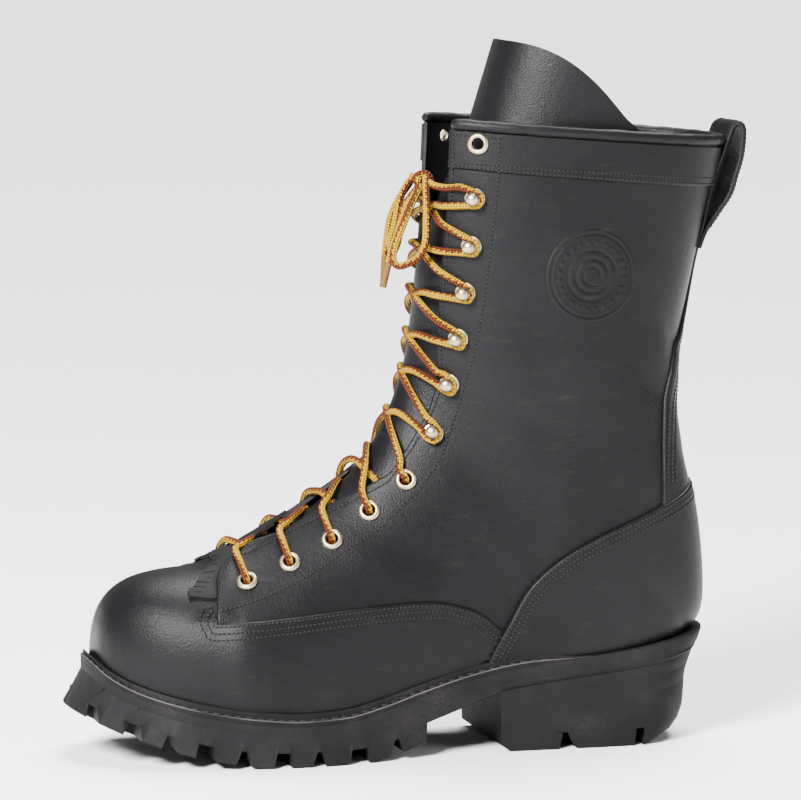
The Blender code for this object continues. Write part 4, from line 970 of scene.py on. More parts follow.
def tongue_points(t, share, depth):
    """Sections past the collar rise into the tongue's peaked top."""
    row = np.minimum(t, TOP_ROW)
    points = above(row, share * tongue_half(row), depth)
    points[..., 0] -= setback(points[..., 2])
    points[..., 1] *= 1.0 - 0.05 * soft_step((points[..., 2] - SETBACK_LOW) / SETBACK_SPAN)
    rise = np.maximum(0.0, t - TOP_ROW) * (2.0 + TONGUE_RISE * (1 - np.abs(share) ** TONGUE_CORNER))
    points[..., 2] += rise
    points[..., 0] -= rise * TONGUE_LEAN
    return points


tongue_rows = np.concatenate((np.arange(7.6, TOP_ROW, 0.2), TOP_ROW + np.linspace(0, 1, 24)))
tongue_share = np.sin(np.linspace(-1, 1, 61) * math.pi / 2 * 0.92) / math.sin(math.pi / 2 * 0.92)
tongue_t, tongue_s = np.meshgrid(tongue_rows, tongue_share, indexing="ij")
tongue = shell("tongue_leather", tongue_points(tongue_t, tongue_s, TONGUE_OUTER),
               tongue_points(tongue_t, tongue_s, TONGUE_INNER), PANEL_FINISHES)
hand_in(tongue, "black_leather", "tongue")


# Kiltie
# A loose flap of leather under the lace that keeps grit out of the throat; its front is cut into a fringe.
# The lace runs over its neck and holds it down, and its cut edges show pale.
KILTIE_FRONT = 6.42
KILTIE_LEAN = 1.2
KILTIE_HALF = 0.47
KILTIE_LENGTH = 1.9
FRINGE_LENGTH = 0.42
FRINGE_STRIPS = 18
FRINGE_STEPS = 7
STRIP_COLUMNS = 4
FRINGE_SLIT = 0.0075
KILTIE_THICK = 1.1
slit_half = FRINGE_SLIT / 2
strip_edges = np.linspace(-KILTIE_HALF, KILTIE_HALF, FRINGE_STRIPS + 1)
strip_columns = [np.linspace(low + slit_half, high - slit_half, STRIP_COLUMNS)
                 for low, high in zip(strip_edges, strip_edges[1:])]
kiltie_columns = np.concatenate(strip_columns)
strip_number = np.repeat(np.arange(FRINGE_STRIPS), STRIP_COLUMNS)
strip_short = 0.05 * np.sin(strip_number * 2.7) + 0.04 * np.sin(strip_number * 5.1)
kiltie_front = KILTIE_FRONT + KILTIE_LEAN * (1 - soft_step(np.abs(kiltie_columns) / 0.45)) + strip_short
fringe_steps = np.linspace(0, FRINGE_LENGTH, FRINGE_STEPS)
kiltie_steps = np.concatenate((fringe_steps, np.linspace(FRINGE_LENGTH, KILTIE_LENGTH, 22)[1:]))
kiltie_t = kiltie_front[None, :] + kiltie_steps[:, None]
kiltie_narrow = 1 - 0.72 * soft_step((kiltie_steps - 1.0) / 0.7)
kiltie_s = kiltie_columns[None, :] * kiltie_narrow[:, None]
strip_curl = np.maximum(0.6 * np.sin(strip_number * 2.3), 0.0)
curl = strip_curl[None, :] * soft_step(1 - kiltie_steps / FRINGE_LENGTH)[:, None]
kiltie_low = vamp_top(kiltie_t, kiltie_s) + 0.15 + curl
kiltie_present = all_cells(kiltie_t)
kiltie_present[:FRINGE_STEPS - 1, STRIP_COLUMNS - 1::STRIP_COLUMNS] = False
# The flap's top takes the darker lining leather as painted shade.
kiltie = shell("kiltie_flap", above(kiltie_t, kiltie_s, kiltie_low + KILTIE_THICK),
               above(kiltie_t, kiltie_s, kiltie_low), [LINING_AND_PAINTED_SHADE, LINING_AND_PAINTED_SHADE, CUT_EDGE], kiltie_present)
hand_in(kiltie, "black_leather", "kiltie")


# Pull loop
# A doubled strap of leather, sewn down at the back of the shaft under the collar and bent into a loop.
# It helps to pull the boot on.
PULL_LOOP = ((3.4, 238.0), (0.6, 247.0), (-1.6, 257.0), (-4.4, 268.0), (-9.6, 282.4), (-12.8, 291.0),
             (-14.6, 294.6), (-17.2, 295.6), (-19.2, 292.4), (-18.4, 281.0), (-15.4, 270.6), (-12.6, 262.0),
             (-6.4, 253.0), (-0.6, 244.4), (2.6, 236.4))
PULL_LOOP_WIDTH = 32.0
PULL_LOOP_BEND = 4.0
PULL_LOOP_THICK = 2.2
loop_line = smooth_line(PULL_LOOP, 6)
loop_ahead = unit(np.gradient(loop_line, axis=0))
loop_aside = np.stack((-loop_ahead[:, 1], loop_ahead[:, 0]), axis=1)
loop_across = np.array((-1.0, -0.985, -0.94, -0.86, -0.5, 0.0, 0.5, 0.86, 0.94, 0.985, 1.0))
loop_thick = PULL_LOOP_THICK / 2 * rounded((1 - np.abs(loop_across)) * 12, 0.75, 1.2) + 0.25
loop_y = np.repeat((loop_across * PULL_LOOP_WIDTH / 2)[None, :], len(loop_line), axis=0)


def loop_face(sign):
    """One face of the strap, bent round the shaft: 1 is its left side along the line, -1 its right."""
    x = loop_line[:, :1] + loop_aside[:, :1] * loop_thick * sign + PULL_LOOP_BEND * loop_across**2
    z = loop_line[:, 1:] + loop_aside[:, 1:] * loop_thick * sign
    return np.stack((x, loop_y, z), axis=-1)


# The strap's face from loop_face(-1) takes the darker lining leather as painted shade.
pull_loop = shell("pull_loop_strap", loop_face(1), loop_face(-1), PANEL_FINISHES)
hand_in(pull_loop, "black_leather", "pull_loop")


# Welt
# A strip from one side of the heel round the toe to the other, sewn to the upper and to the sole.
# A rib stands against the leather, and the outseam's thread lies in the groove beside it.
WELT_BACK = 66.0
WELT_CLEAR = 5.0
SOLE_HEEL = 1.5
SOLE_TOE = 304.0
WELT_GROOVE = 2.1
# The strip's cross-section: share of the way out from the upper, height over the seat
WELT_PROFILE = ((0.0, -0.3), (0.0, 4.3), (0.04, 5.2), (0.12, 5.6), (0.22, 5.4), (0.30, 4.4), (0.35, 2.8),
                (0.42, WELT_GROOVE), (0.58, WELT_GROOVE), (0.66, 2.3), (0.72, 2.6), (0.86, 2.7), (0.95, 2.6),
                (1.0, 2.0), (1.0, -0.3))
WELT_LIGHT_EDGE = 12


def welt_rise(x):
    """The strip is skived thin towards its two ends at the heel."""
    return blend(0.12, 1.0, soft_step((x - WELT_BACK) / 34.0))


def welt_inner(x, side):
    """Y of the welt's inner edge, against the panels."""
    bulge = (1.8 if side > 0 else 3.2) * np.exp(-(((x - 125.0) / 45.0) ** 2))
    toe = FEATHER_TOE + WELT_CLEAR + 0.4
    return outline(x, side, FEATHER_HEEL, toe, ledge(x) - WELT_CLEAR - bulge, FEATHER_ROUND)


def welt_side(side):
    """The welt's inner and outer edge on one side, from the toe back, as x, y points."""
    turn = (np.arange(40) + 0.2) / 40 * math.pi / 2
    share = 1 - np.cos(turn)
    inner_x = FEATHER_TOE + WELT_CLEAR - FEATHER_ROUND * share
    outer_x = SOLE_TOE - 0.1 - TOE_ROUND * share
    back = np.linspace(0, 1, 60)[1:]
    inner_x = np.concatenate((inner_x, blend(inner_x[-1], WELT_BACK, back)))
    outer_x = np.concatenate((outer_x, blend(outer_x[-1], WELT_BACK, back)))
    inner = np.stack((inner_x, welt_inner(inner_x, side) - side * 1.2), axis=1)
    outer = np.stack((outer_x, outline(outer_x, side, SOLE_HEEL, SOLE_TOE, 0.3)), axis=1)
    return inner, outer


welt_edges = [welt_side(1), welt_side(-1)]
welt_in = np.concatenate((welt_edges[0][0][::-1], welt_edges[1][0]))
welt_out = np.concatenate((welt_edges[0][1][::-1], welt_edges[1][1]))
welt_rings = []
for welt_share, welt_height in WELT_PROFILE:
    edge = blend(welt_in, welt_out, welt_share)
    welt_rings.append(np.column_stack((edge, seat(edge[:, 0]) + welt_height * welt_rise(edge[:, 0]))))
welt_rings = np.stack(welt_rings, axis=1)


def loft(name, rings, finishes, sharp, kinds=None, end_kind=0):
    """A closed solid through rings of the same number of corners, whose last flat end has its own finish."""
    count, corners = rings.shape[:2]
    faces = bar_faces(count, corners)
    middle_ring = count // 2
    a, b = rings[middle_ring, 0], rings[middle_ring, 1]
    normal = np.cross(b - a, rings[middle_ring + 1, 0] - a)
    if normal @ (a - rings[middle_ring].mean(axis=0)) < 0:
        faces = [tuple(reversed(face)) for face in faces]
    kinds = [0] * ((count - 1) * corners) if kinds is None else kinds.ravel().tolist()
    return put_mesh(name, rings.reshape(-1, 3), faces, finishes, kinds + [0, end_kind], sharp)


def rubber_skin_group():
    """Clouds, dust and buffing lines that every rubber of the sole shares."""
    group, lines, results = new_group("rubber_skin", "Line Depth", 0.2, ("Cloud", "Dust", "Height"))
    place = object_place(group)
    cloud = noise(group, place, 26.0, 6.0, 0.65)
    speck = noise(group, place, 1500.0, 2.0, 0.6)
    drawn = add_node(group, "ShaderNodeMapping", {"Vector": place, "Scale": (30.0, 30.0, 900.0)})
    buffed = noise(group, drawn.outputs["Vector"], 1.0, 3.0, 0.6)
    height = calculate(group, "MULTIPLY", buffed, lines)
    height = calculate(group, "ADD", calculate(group, "MULTIPLY", speck, 0.5), height)
    group.links.new(cloud, results["Cloud"])
    group.links.new(between(group, calculate(group, "MULTIPLY", speck, cloud), 0.30, 0.46), results["Dust"])
    group.links.new(height, results["Height"])
    return group


RUBBER_SKIN = rubber_skin_group()


def rubber(name, dark, light, lines):
    """Moulded rubber: a dull skin with faint speckle, specks of lighter dust and buffing lines."""
    finish, tree, shader = new_finish(name, {"IOR": 1.46, "Specular IOR Level": 0.1})
    marks = add_node(tree, "ShaderNodeGroup", {"Line Depth": lines}, node_tree=RUBBER_SKIN).outputs
    shade = mixed(tree, between(tree, marks["Cloud"], 0.3, 0.7), dark, light)
    shade = mixed(tree, calculate(tree, "MULTIPLY", marks["Dust"], 0.4), shade, (0.036, 0.033, 0.031))
    tree.links.new(shade, shader.inputs["Base Color"])
    tree.links.new(between(tree, marks["Cloud"], 0.3, 0.7, 0.74, 0.6), shader.inputs["Roughness"])
    set_bump(tree, shader, marks["Height"], 0.0002)
    return finish


SOLE_RUBBER = rubber("black_sole_rubber", (0.0048, 0.0044, 0.005), (0.0092, 0.0085, 0.0092), 0.8)
WELT_FINISH = rubber("black_welt", (0.0032, 0.003, 0.0032), (0.0068, 0.0062, 0.0064), 0.2)
# The welt's outer top edge is lighter all round: partly wear, partly a painted highlight along the edge.
WELT_EDGE_WEAR_AND_HIGHLIGHT = rubber("welt_edge_wear_and_painted_highlight", (0.008, 0.0075, 0.0072), (0.07, 0.065, 0.062), 0.2)
welt_kinds = np.zeros((welt_rings.shape[0] - 1, len(WELT_PROFILE)), int)
welt_kinds[:, WELT_LIGHT_EDGE] = 1
welt = loft("welt_strip", welt_rings, [WELT_FINISH, WELT_EDGE_WEAR_AND_HIGHLIGHT], 60.0, welt_kinds)
hand_in(welt, "black_rubber", "welt")


# Midsole
# A layer between the welt and the outsole, trimmed flush with both and glued to them.
# Its back is trimmed into a hollow that runs on down the heel.
def stations(heel_x, toe_x, heel_steps, step, toe_steps):
    """Places along the sole, closer together on the round of the heel and of the toe."""
    tip = 0.05
    heel = heel_x + tip + HEEL_ROUND * (1 - np.cos(np.arange(heel_steps) / heel_steps * math.pi / 2))
    start = heel_x + HEEL_ROUND
    finish = toe_x - TOE_ROUND
    waist = np.linspace(start, finish, max(2, round((finish - start) / step)), endpoint=False)
    turn = np.arange(toe_steps, -1, -1) / toe_steps * math.pi / 2
    toe = toe_x - tip - (TOE_ROUND - tip) * (1 - np.cos(turn))
    return np.concatenate((heel, waist, toe))


# How far the back of the sole is drawn in: height, distance
BACK_HOLLOW = ((0.0, 24.5), (1.0, 23.0), (6.0, 14.0), (12.0, 10.6), (17.0, 9.3), (30.5, 8.6), (36.0, 7.1),
               (44.0, 3.9), (50.0, 0.6), (54.0, 0.0))
back_hollow = Curve(*zip(*BACK_HOLLOW))


def drawn_in(points):
    """Points of the sole with the back hollowed out under the seat."""
    points = np.array(points, float)
    points[..., 0] += back_hollow(points[..., 2]) * (1 - soft_step(points[..., 0] / 48.0))
    return points


def midsole_low(x):
    """Height of the midsole's underside."""
    return seat(x) - blend(6.0, 4.5, soft_step((x - 110.0) / 60.0))


midsole_x = stations(SOLE_HEEL, SOLE_TOE, 14, 5.0, 40)
midsole_outer = outline(midsole_x, 1, SOLE_HEEL, SOLE_TOE, 0.0)
midsole_inner = outline(midsole_x, -1, SOLE_HEEL, SOLE_TOE, 0.0)
# The edge from the top down: share of the height from the top, inset
MIDSOLE_EDGE = ((0.0, 0.35), (0.03, 0.1), (0.1, 0.0), (0.9, 0.0), (0.98, 0.02), (1.05, 0.08))
midsole_middle = middle(midsole_x)
midsole_rings = []
for edge_y, order in ((midsole_outer, MIDSOLE_EDGE), (midsole_inner, MIDSOLE_EDGE[::-1])):
    reach = edge_y - midsole_middle
    for share, inset_by in order:
        level = blend(seat(midsole_x), midsole_low(midsole_x), share)
        edge = midsole_middle + np.sign(reach) * np.maximum(np.abs(reach) - inset_by, 0.05)
        midsole_rings.append(np.stack((midsole_x, edge, level), axis=1))
midsole = loft("midsole_layer", drawn_in(np.stack(midsole_rings, axis=1)), [SOLE_RUBBER], 40.0)
hand_in(midsole, "black_rubber", "midsole")


# Outsole
# A moulded rubber sole with deep lugs along its edges, a groove on each side of the middle and a bare waist.
# It is glued and sewn through the welt, and runs on as a thin layer over the heel block.
TREAD_TOE = 312.5
BALL_FLAT = (188.0, 212.0)
TOE_SPRING = 0.0024
WAIST_RISE = 0.0053
LUG_END = 149.0
SHANK_LOW = 17.0
SHANK_HIGH = 28.5
HEEL_BREAST = 112.0
HEEL_SEAT_LAYER = 2.5
NOTCH_DEPTH = 7.0
NOTCH_REACH = 23.0
GROOVE_OUTER = 25.0
GROOVE_INNER = 19.0
GROOVE_DEPTH = 6.0
GROOVE_START = 162.0
GROOVE_END = 284.0
# Notches between the side lugs: distance from the heel, width at the floor, at the top
NOTCHES = ((296.0, 4.5, 3.0), (281.0, 7.0, 6.0), (266.5, 7.0, 2.0), (252.5, 8.5, 6.0), (237.0, 7.0, 2.0),
           (219.9, 8.5, 6.0), (202.8, 7.0, 2.0), (182.9, 10.0, 7.6), (164.0, 7.0, 2.0))


def tread(x):
    """Height of the tread: flat under the ball, with toe spring and a rise to the waist."""
    toe = TOE_SPRING * np.maximum(x - BALL_FLAT[1], 0.0) ** 2
    return toe + WAIST_RISE * np.maximum(BALL_FLAT[0] - x, 0.0) ** 2


def notch_slope(floor_width, top_width):
    """How far along the sole one side of a notch slopes."""
    return max((floor_width - top_width) / 2, 0.2)


def notch_lift(x, notches, depth):
    """How deep the side of the tread is cut away at x."""
    lift = np.zeros_like(x)
    for place, floor_width, top_width in notches:
        slope = notch_slope(floor_width, top_width)
        lift = np.maximum(lift, depth * np.clip((floor_width / 2 - np.abs(x - place)) / slope, 0.0, 1.0))
    return lift


def notch_edges(notches):
    """Where the sides of each notch start and end along the sole."""
    edges = []
    for place, floor_width, top_width in notches:
        slope = notch_slope(floor_width, top_width)
        edges += [place - floor_width / 2, place - floor_width / 2 + slope]
        edges += [place + floor_width / 2 - slope, place + floor_width / 2]
    return edges


def outsole_low(x):
    """The underside: lugs, then the bare waist, then a thin layer over the heel."""
    waist = blend(SHANK_HIGH, SHANK_LOW, (x - HEEL_BREAST) / (LUG_END - 1.0 - HEEL_BREAST))
    low = np.where(x > HEEL_BREAST, waist, midsole_low(x) - GAP - HEEL_SEAT_LAYER)
    return np.where(x >= LUG_END, tread(x), low)


outsole_x = np.concatenate((stations(SOLE_HEEL, SOLE_TOE, 14, 4.0, 44), notch_edges(NOTCHES)))
outsole_x = np.concatenate((outsole_x, (HEEL_BREAST - 0.5, HEEL_BREAST + 0.5, LUG_END - 0.6, LUG_END)))
outsole_x = np.unique(np.round(outsole_x, 2))
forward = soft_step((outsole_x - BALL_FLAT[1]) / (SOLE_TOE - BALL_FLAT[1])) * (TREAD_TOE - SOLE_TOE)
tread_x = outsole_x + forward
floor_z = outsole_low(tread_x)
side_z = floor_z + np.where(tread_x >= LUG_END, notch_lift(outsole_x, NOTCHES, NOTCH_DEPTH), 0.0)
top_z = midsole_low(outsole_x) + 0.02
in_groove = np.where((tread_x > GROOVE_START) & (tread_x < GROOVE_END), GROOVE_DEPTH, 0.0)
crossed = np.where(tread_x >= LUG_END, notch_lift(outsole_x, NOTCHES[3:9:2], GROOVE_DEPTH - 0.5), 0.0)
outsole_rings = []
for side in (1, -1):
    line = middle(outsole_x)
    edge = outline(outsole_x, side, SOLE_HEEL, SOLE_TOE, 0.0) - line
    room = np.abs(edge)
    lug_end = np.maximum(room - NOTCH_REACH, 0.57 * room)
    groove_outer = np.minimum(GROOVE_OUTER, 0.5 * room)
    groove_inner = np.minimum(GROOVE_INNER, 0.38 * room)
    half = [
        (outsole_x, room - 0.08, top_z),
        (outsole_x, room, top_z - 0.2),
        (blend(outsole_x, tread_x, 0.5), room + 0.2, blend(top_z, side_z, 0.5)),
        (tread_x, room + 1.0, np.minimum(side_z + 0.8, top_z - 0.7)),
        (tread_x, room + 0.4, side_z),
        (tread_x, lug_end, side_z),
        (tread_x, lug_end, floor_z),
        (tread_x, groove_outer, floor_z),
        (tread_x, groove_outer - 0.4, floor_z + in_groove),
        (tread_x, groove_inner + 0.4, floor_z + in_groove),
        (tread_x, groove_inner, floor_z + crossed),
    ]
    corners = [np.stack((x, line + side * np.maximum(reach, 0.02), z), axis=1) for x, reach, z in half]
    outsole_rings += corners if side > 0 else corners[::-1]
outsole_rings = drawn_in(np.stack(outsole_rings, axis=1))
# The waist's underside takes a darker rubber: painted shade for the shadow under the arch.
SHADE_RUBBER = rubber("painted_shade_rubber", (0.0022, 0.002, 0.002), (0.0045, 0.004, 0.0038), 0.2)
outsole_kinds = np.zeros((len(outsole_x) - 1, outsole_rings.shape[1]), int)
outsole_kinds[tread_x[:-1] < LUG_END, 4:-5] = 1
outsole = loft("outsole_rubber", outsole_rings, [SOLE_RUBBER, SHADE_RUBBER], 28.0, outsole_kinds)
hand_in(outsole, "black_rubber", "outsole")


# Heel
# A tall stacked heel block under the seat, with its front face undercut and its rear edge sloped.
# Its lowest layer is lugged rubber, and fine lines show where the layers meet.
HEEL_BACK = 1.6
HEEL_TIP = HEEL_BACK + 0.05
HEEL_UNDERCUT = 6.5
HEEL_RISE = 0.0036
HEEL_NOTCHES = ((77.0, 9.0, 5.6), (39.5, 8.0, 6.0))
PAST_THE_TOE = 900.0
HEEL_RISE_START = 52.0
# The side from the top down: share of the height, inset at a joint of two layers
HEEL_SIDE = ((1.0, 0.1), (0.99, 0.0), (0.93, 0.0), (0.84, 0.0), (0.836, 0.1), (0.832, 0.0), (0.75, 0.0),
             (0.66, 0.0), (0.656, 0.08), (0.652, 0.0), (0.5, 0.15), (0.36, 0.3), (0.22, 0.45), (0.12, 0.6))
heel_cut_u = (np.array(notch_edges(HEEL_NOTCHES)) - HEEL_TIP) / (HEEL_BREAST - HEEL_UNDERCUT - HEEL_TIP)
heel_u = np.concatenate((1 - np.cos(np.linspace(0, math.pi / 2, 34)), heel_cut_u))
heel_u = np.unique(np.round(heel_u, 5))
heel_low_x = blend(HEEL_TIP, HEEL_BREAST - HEEL_UNDERCUT, heel_u)
floor_x = drawn_in(np.stack((heel_low_x, heel_low_x, np.zeros_like(heel_low_x)), axis=1))[:, 0]
heel_floor = HEEL_RISE * np.maximum(0.0, HEEL_RISE_START - floor_x) ** 2
heel_side_z = heel_floor + notch_lift(heel_low_x, HEEL_NOTCHES, NOTCH_DEPTH + 1.0)
heel_rings = []
for side in (1, -1):
    corners = []
    for share, joint in HEEL_SIDE:
        x = blend(HEEL_TIP, HEEL_BREAST - blend(1.6, 1.0, share), heel_u)
        top = outsole_low(np.minimum(x, HEEL_BREAST - 0.5)) + 0.02
        y = np.abs(outline(x, side, HEEL_BACK, PAST_THE_TOE, blend(0.6, 0.0, share)))
        y = np.maximum(y - joint, 0.02)
        corners.append(np.stack((x, side * y, np.maximum(top * share, heel_side_z + 0.4)), axis=1))
    low_y = np.maximum(np.abs(outline(heel_low_x, side, HEEL_BACK, PAST_THE_TOE, 1.2)), 0.02)
    corners.append(np.stack((heel_low_x, side * np.maximum(low_y - 0.4, 0.015), heel_side_z), axis=1))
    corners.append(np.stack((heel_low_x, side * np.maximum(low_y - 20.0, 0.012), heel_side_z), axis=1))
    corners.append(np.stack((heel_low_x, side * np.maximum(low_y - 20.0, 0.01), heel_floor), axis=1))
    heel_rings += corners if side > 0 else corners[::-1]
# The heel's front face takes the darker rubber too: painted shade under the arch.
heel = loft("heel_block", drawn_in(np.stack(heel_rings, axis=1)), [SOLE_RUBBER, SHADE_RUBBER], 28.0, None, 1)
hand_in(heel, "black_rubber", "heel")


# Stitching
# Waxed thread in rows along the edges of the panels, the strap and the welt, sewn through the layers.
# It is drawn tight, so that each stitch sinks between two needle holes; each hole is a small dark spot of
# painted shade.
def offset_line(line, distance):
    """An outline seen from the side, moved to its right by a distance."""
    ahead = unit(np.gradient(line, axis=0))
    return line + np.stack((ahead[:, 1], -ahead[:, 0]), axis=1) * distance


def on_panel(t, s, height):
    """Points of a panel that lies on the last at a height, with its creases."""
    return above(t, s, height + creases(skin(t, s)))


def over_band(points):
    """How far the collar band raises the surface at points of the shaft."""
    return BAND_HEIGHT * soft_step((over_line(points) + 0.3) / 0.6)


def on_shaft(t, s, height):
    """Points over the quarters and the shaft, raised where the collar band lies on it."""
    return on_quarter(t, s, height + over_band(skin(t, s)))


def read_at(at, length, rows):
    """Rows of three values, given along a length, read at other places along it."""
    return np.stack([np.interp(at, length, rows[:, k]) for k in range(3)], axis=1)


def evenly(points, normals, pitch):
    """Places at an even pitch along a line, each with its direction and the leather's normal."""
    length = distance_along(points)
    at = np.arange(pitch / 2, length[-1], pitch)
    places = read_at(at, length, points)
    up = unit(read_at(at, length, normals))
    ahead = read_at(at, length, np.gradient(points, length, axis=0))
    ahead = unit(ahead - up * (ahead * up).sum(-1, keepdims=True))
    return places, ahead, up


bpy.ops.object.select_all(action="DESELECT")
bpy.ops.mesh.primitive_uv_sphere_add(segments=7, ring_count=5, radius=0.5)
stitch_model = bpy.context.object
stitch_points = np.array([corner.co for corner in stitch_model.data.vertices])[:, (2, 0, 1)]
stitch_faces = [tuple(face.vertices) for face in stitch_model.data.polygons]
bpy.data.objects.remove(stitch_model)
stitch_parts = {}


def sew(row, points, normals, pitch=2.1, length=1.55, width=0.8, rise=0.08):
    """Adds a row of stitches to the pieces of one seam, with dark spots of painted shade for the needle holes
    between them.
    """
    places, ahead, up = evenly(points, normals, pitch)
    across = np.cross(up, ahead)
    threads, holes = stitch_parts.setdefault(row, ([], []))
    for k in range(len(places)):
        frame_axes = np.stack((ahead[k], across[k], up[k]))
        thread_size = np.array((length, width, width * 0.85))
        threads.append(places[k] + up[k] * rise + (stitch_points * thread_size) @ frame_axes)
        hole_shade_size = np.array((pitch - length + 0.55, width * 1.1, width * 0.4))
        hole_shade = places[k] + ahead[k] * pitch / 2 - up[k] * 0.02
        holes.append(hole_shade + (stitch_points * hole_shade_size) @ frame_axes)


def thread_finish():
    finish, tree, shader = new_finish("waxed_black_thread", {"Roughness": 0.55, "Specular IOR Level": 0.15})
    place = object_place(tree)
    fibre = noise(tree, place, 2600.0, 3.0, 0.6)
    shade = mixed(tree, between(tree, fibre, 0.35, 0.7), (0.0045, 0.0042, 0.0042), (0.022, 0.02, 0.0196))
    tree.links.new(shade, shader.inputs["Base Color"])
    set_bump(tree, shader, fibre, 0.0002)
    return finish


# The needle holes are not cut: a nearly black finish on small spots paints the shade inside them.
def hole_shade_finish():
    finish, tree, shader = new_finish("needle_hole_painted_shade", {"Roughness": 0.95, "Specular IOR Level": 0.1})
    place = object_place(tree)
    shade = mixed(tree, noise(tree, place, 700.0), (0.002, 0.002, 0.002), (0.006, 0.0055, 0.005))
    tree.links.new(shade, shader.inputs["Base Color"])
    return finish


THREAD = thread_finish()
HOLE_SHADE = hole_shade_finish()


SEWN_TO = 1.985


def sew_side(seam, line, surface, height):
    """A row along a line seen from the side, sewn on both sides of the boot."""
    row_t, row_s = side_place(line[:, 0], line[:, 1])
    kept = row_s < SEWN_TO
    for side in (1, -1):
        t, s = row_t[kept], side * row_s[kept]
        sew(seam, surface(t, s, height), outward(t, s))


def side_points(line):
    """A line seen from the side, as points in the boot's middle plane."""
    return np.stack((line[:, 0], np.zeros(len(line)), line[:, 1]), axis=1)


# The vamp's side edge, and on round the quarter's lower front corner
CORNER_X = 247.2
CORNER_Z = 67.0
for distance in (1.9, 4.6, 7.3):
    row = offset_line(vamp_line, distance)
    row = row[(row[:, 0] < 239.0) & (inside_of(side_points(row), counter_line) < -0.8)]
    corner = ((CORNER_X + 0.35 * distance, CORNER_Z - 1.04 * distance),
              (CORNER_X + 0.92 * distance, CORNER_Z - 0.63 * distance),
              (CORNER_X + 1.15 * distance, CORNER_Z + 0.6),
              (CORNER_X + 0.86 * distance, CORNER_Z + 0.9 + 0.6 * distance),
              (CORNER_X + 1.6, CORNER_Z + 2.8 + 0.5 * distance))
    sew_side("vamp_stitching", smooth_line(np.concatenate((row[::5], corner)), 6), on_panel, PANEL_HEIGHT)

# The counter's edge and the back strip's edge
for distance in (1.8, 4.1, 6.4):
    row = offset_line(counter_line, -distance)
    row = row[row[:, 1] > seat(row[:, 0]) + 3.0]
    sew_side("counter_stitching", row, on_panel, COUNTER_HEIGHT)
for distance, row_top in ((2.0, 264.0), (4.4, 200.0), (6.8, 182.0)):
    row = offset_line(backstay_line, -distance)
    row = row[(row[:, 1] > 123.0) & (row[:, 1] < row_top)]
    sew_side("back_strip_stitching", row, on_panel, BACKSTAY_HEIGHT)

# The eyestay: a row beside the throat and round the front, and one that runs up outside the fasteners
EYESTAY_ROW = ((246.2, 71.6), (223.3, 79.6), (209.6, 85.2), (195.5, 92.6), (185.5, 98.6), (167.7, 109.0),
               (150.5, 123.8), (143.8, 132.2), (137.4, 141.0), (129.5, 162.3), (124.2, 181.6), (119.9, 201.8),
               (116.9, 225.0), (114.0, 253.5), (111.9, 276.4), (111.6, 293.0))
EDGE_ROW = 2.6
sew_side("eyestay_stitching", smooth_line(EYESTAY_ROW), on_shaft, 0.0)
for side in (1, -1):
    throat_t = np.linspace(8.25, 26.85, 300)
    throat_s = throat_edge(throat_t, side) + EDGE_ROW / spread_s(throat_t, throat_edge(throat_t, side))
    tip_s = np.linspace(0.66, throat_s[0] + 0.012, 24)
    tip_t = quarter_front(side * tip_s) + EDGE_ROW / ROW_LENGTH
    top_s = np.linspace(throat_s[-1], side_place(111.6, 292.0)[1], 20)[1:]
    beside = throat_t > tip_t[-1] + 0.05
    edge_t = np.concatenate((tip_t, throat_t[beside], np.full(len(top_s), throat_t[-1])))
    edge_s = side * np.concatenate((tip_s, throat_s[beside], top_s))
    sew("eyestay_stitching", on_shaft(edge_t, edge_s, 0.0), outward(edge_t, edge_s))

# The collar band's lower edge, the pull loop's edges and the welt's groove
band_row_s = np.linspace(band_start + 0.03, 1.93, 150)
for distance in (1.2, 3.4):
    band_row_t = np.array([band_low_row(s) for s in band_row_s]) + distance / 20.0
    for row_s in (band_row_s, -band_row_s):
        sew("band_stitching", on_shaft(band_row_t, row_s, 0.0), outward(band_row_t, row_s))
LOOP_SEWN_FROM = 246.0
LOOP_ROW = 13.6
loop_kept = loop_line[:, 1] > LOOP_SEWN_FROM
for loop_edge in (-LOOP_ROW, LOOP_ROW):
    for sign in (1, -1):
        row = loop_line + loop_aside * sign * PULL_LOOP_THICK / 2
        row[:, 0] += PULL_LOOP_BEND * (2 * loop_edge / PULL_LOOP_WIDTH) ** 2
        normals = np.insert(loop_aside * sign, 1, 0.0, axis=1)
        row = np.insert(row, 1, loop_edge, axis=1)
        sew("pull_loop_stitching", row[loop_kept], normals[loop_kept])
welt_row = blend(welt_in, welt_out, 0.5)
welt_row = np.column_stack((welt_row, seat(welt_row[:, 0]) + WELT_GROOVE * welt_rise(welt_row[:, 0])))
welt_row = welt_row[welt_row[:, 0] > WELT_BACK + 20.0]
welt_up = np.tile((0.0, 0.0, 1.0), (len(welt_row), 1))
sew("welt_stitching", welt_row, welt_up, pitch=5.2, length=4.7, width=1.9, rise=0.3)

for row, (threads, holes) in stitch_parts.items():
    points = np.concatenate(threads + holes)
    faces = []
    for k in range(len(threads) + len(holes)):
        faces += [tuple(corner + k * len(stitch_points) for corner in face) for face in stitch_faces]
    kinds = [0] * (len(threads) * len(stitch_faces)) + [1] * (len(holes) * len(stitch_faces))
    hand_in(put_mesh(row, points, faces, [THREAD, HOLE_SHADE], kinds), "black_leather")


# Badge
# A round mark pressed into the outer side of the shaft: plain rings and a ring of dots in raised leather.
# The die draws the leather up, so its rim fades into the shaft.
BADGE_X = 67.2
BADGE_Z = 226.7
BADGE_DOTS = 24
DOT_RING = 15.9
BADGE_DEPTH = 0.65
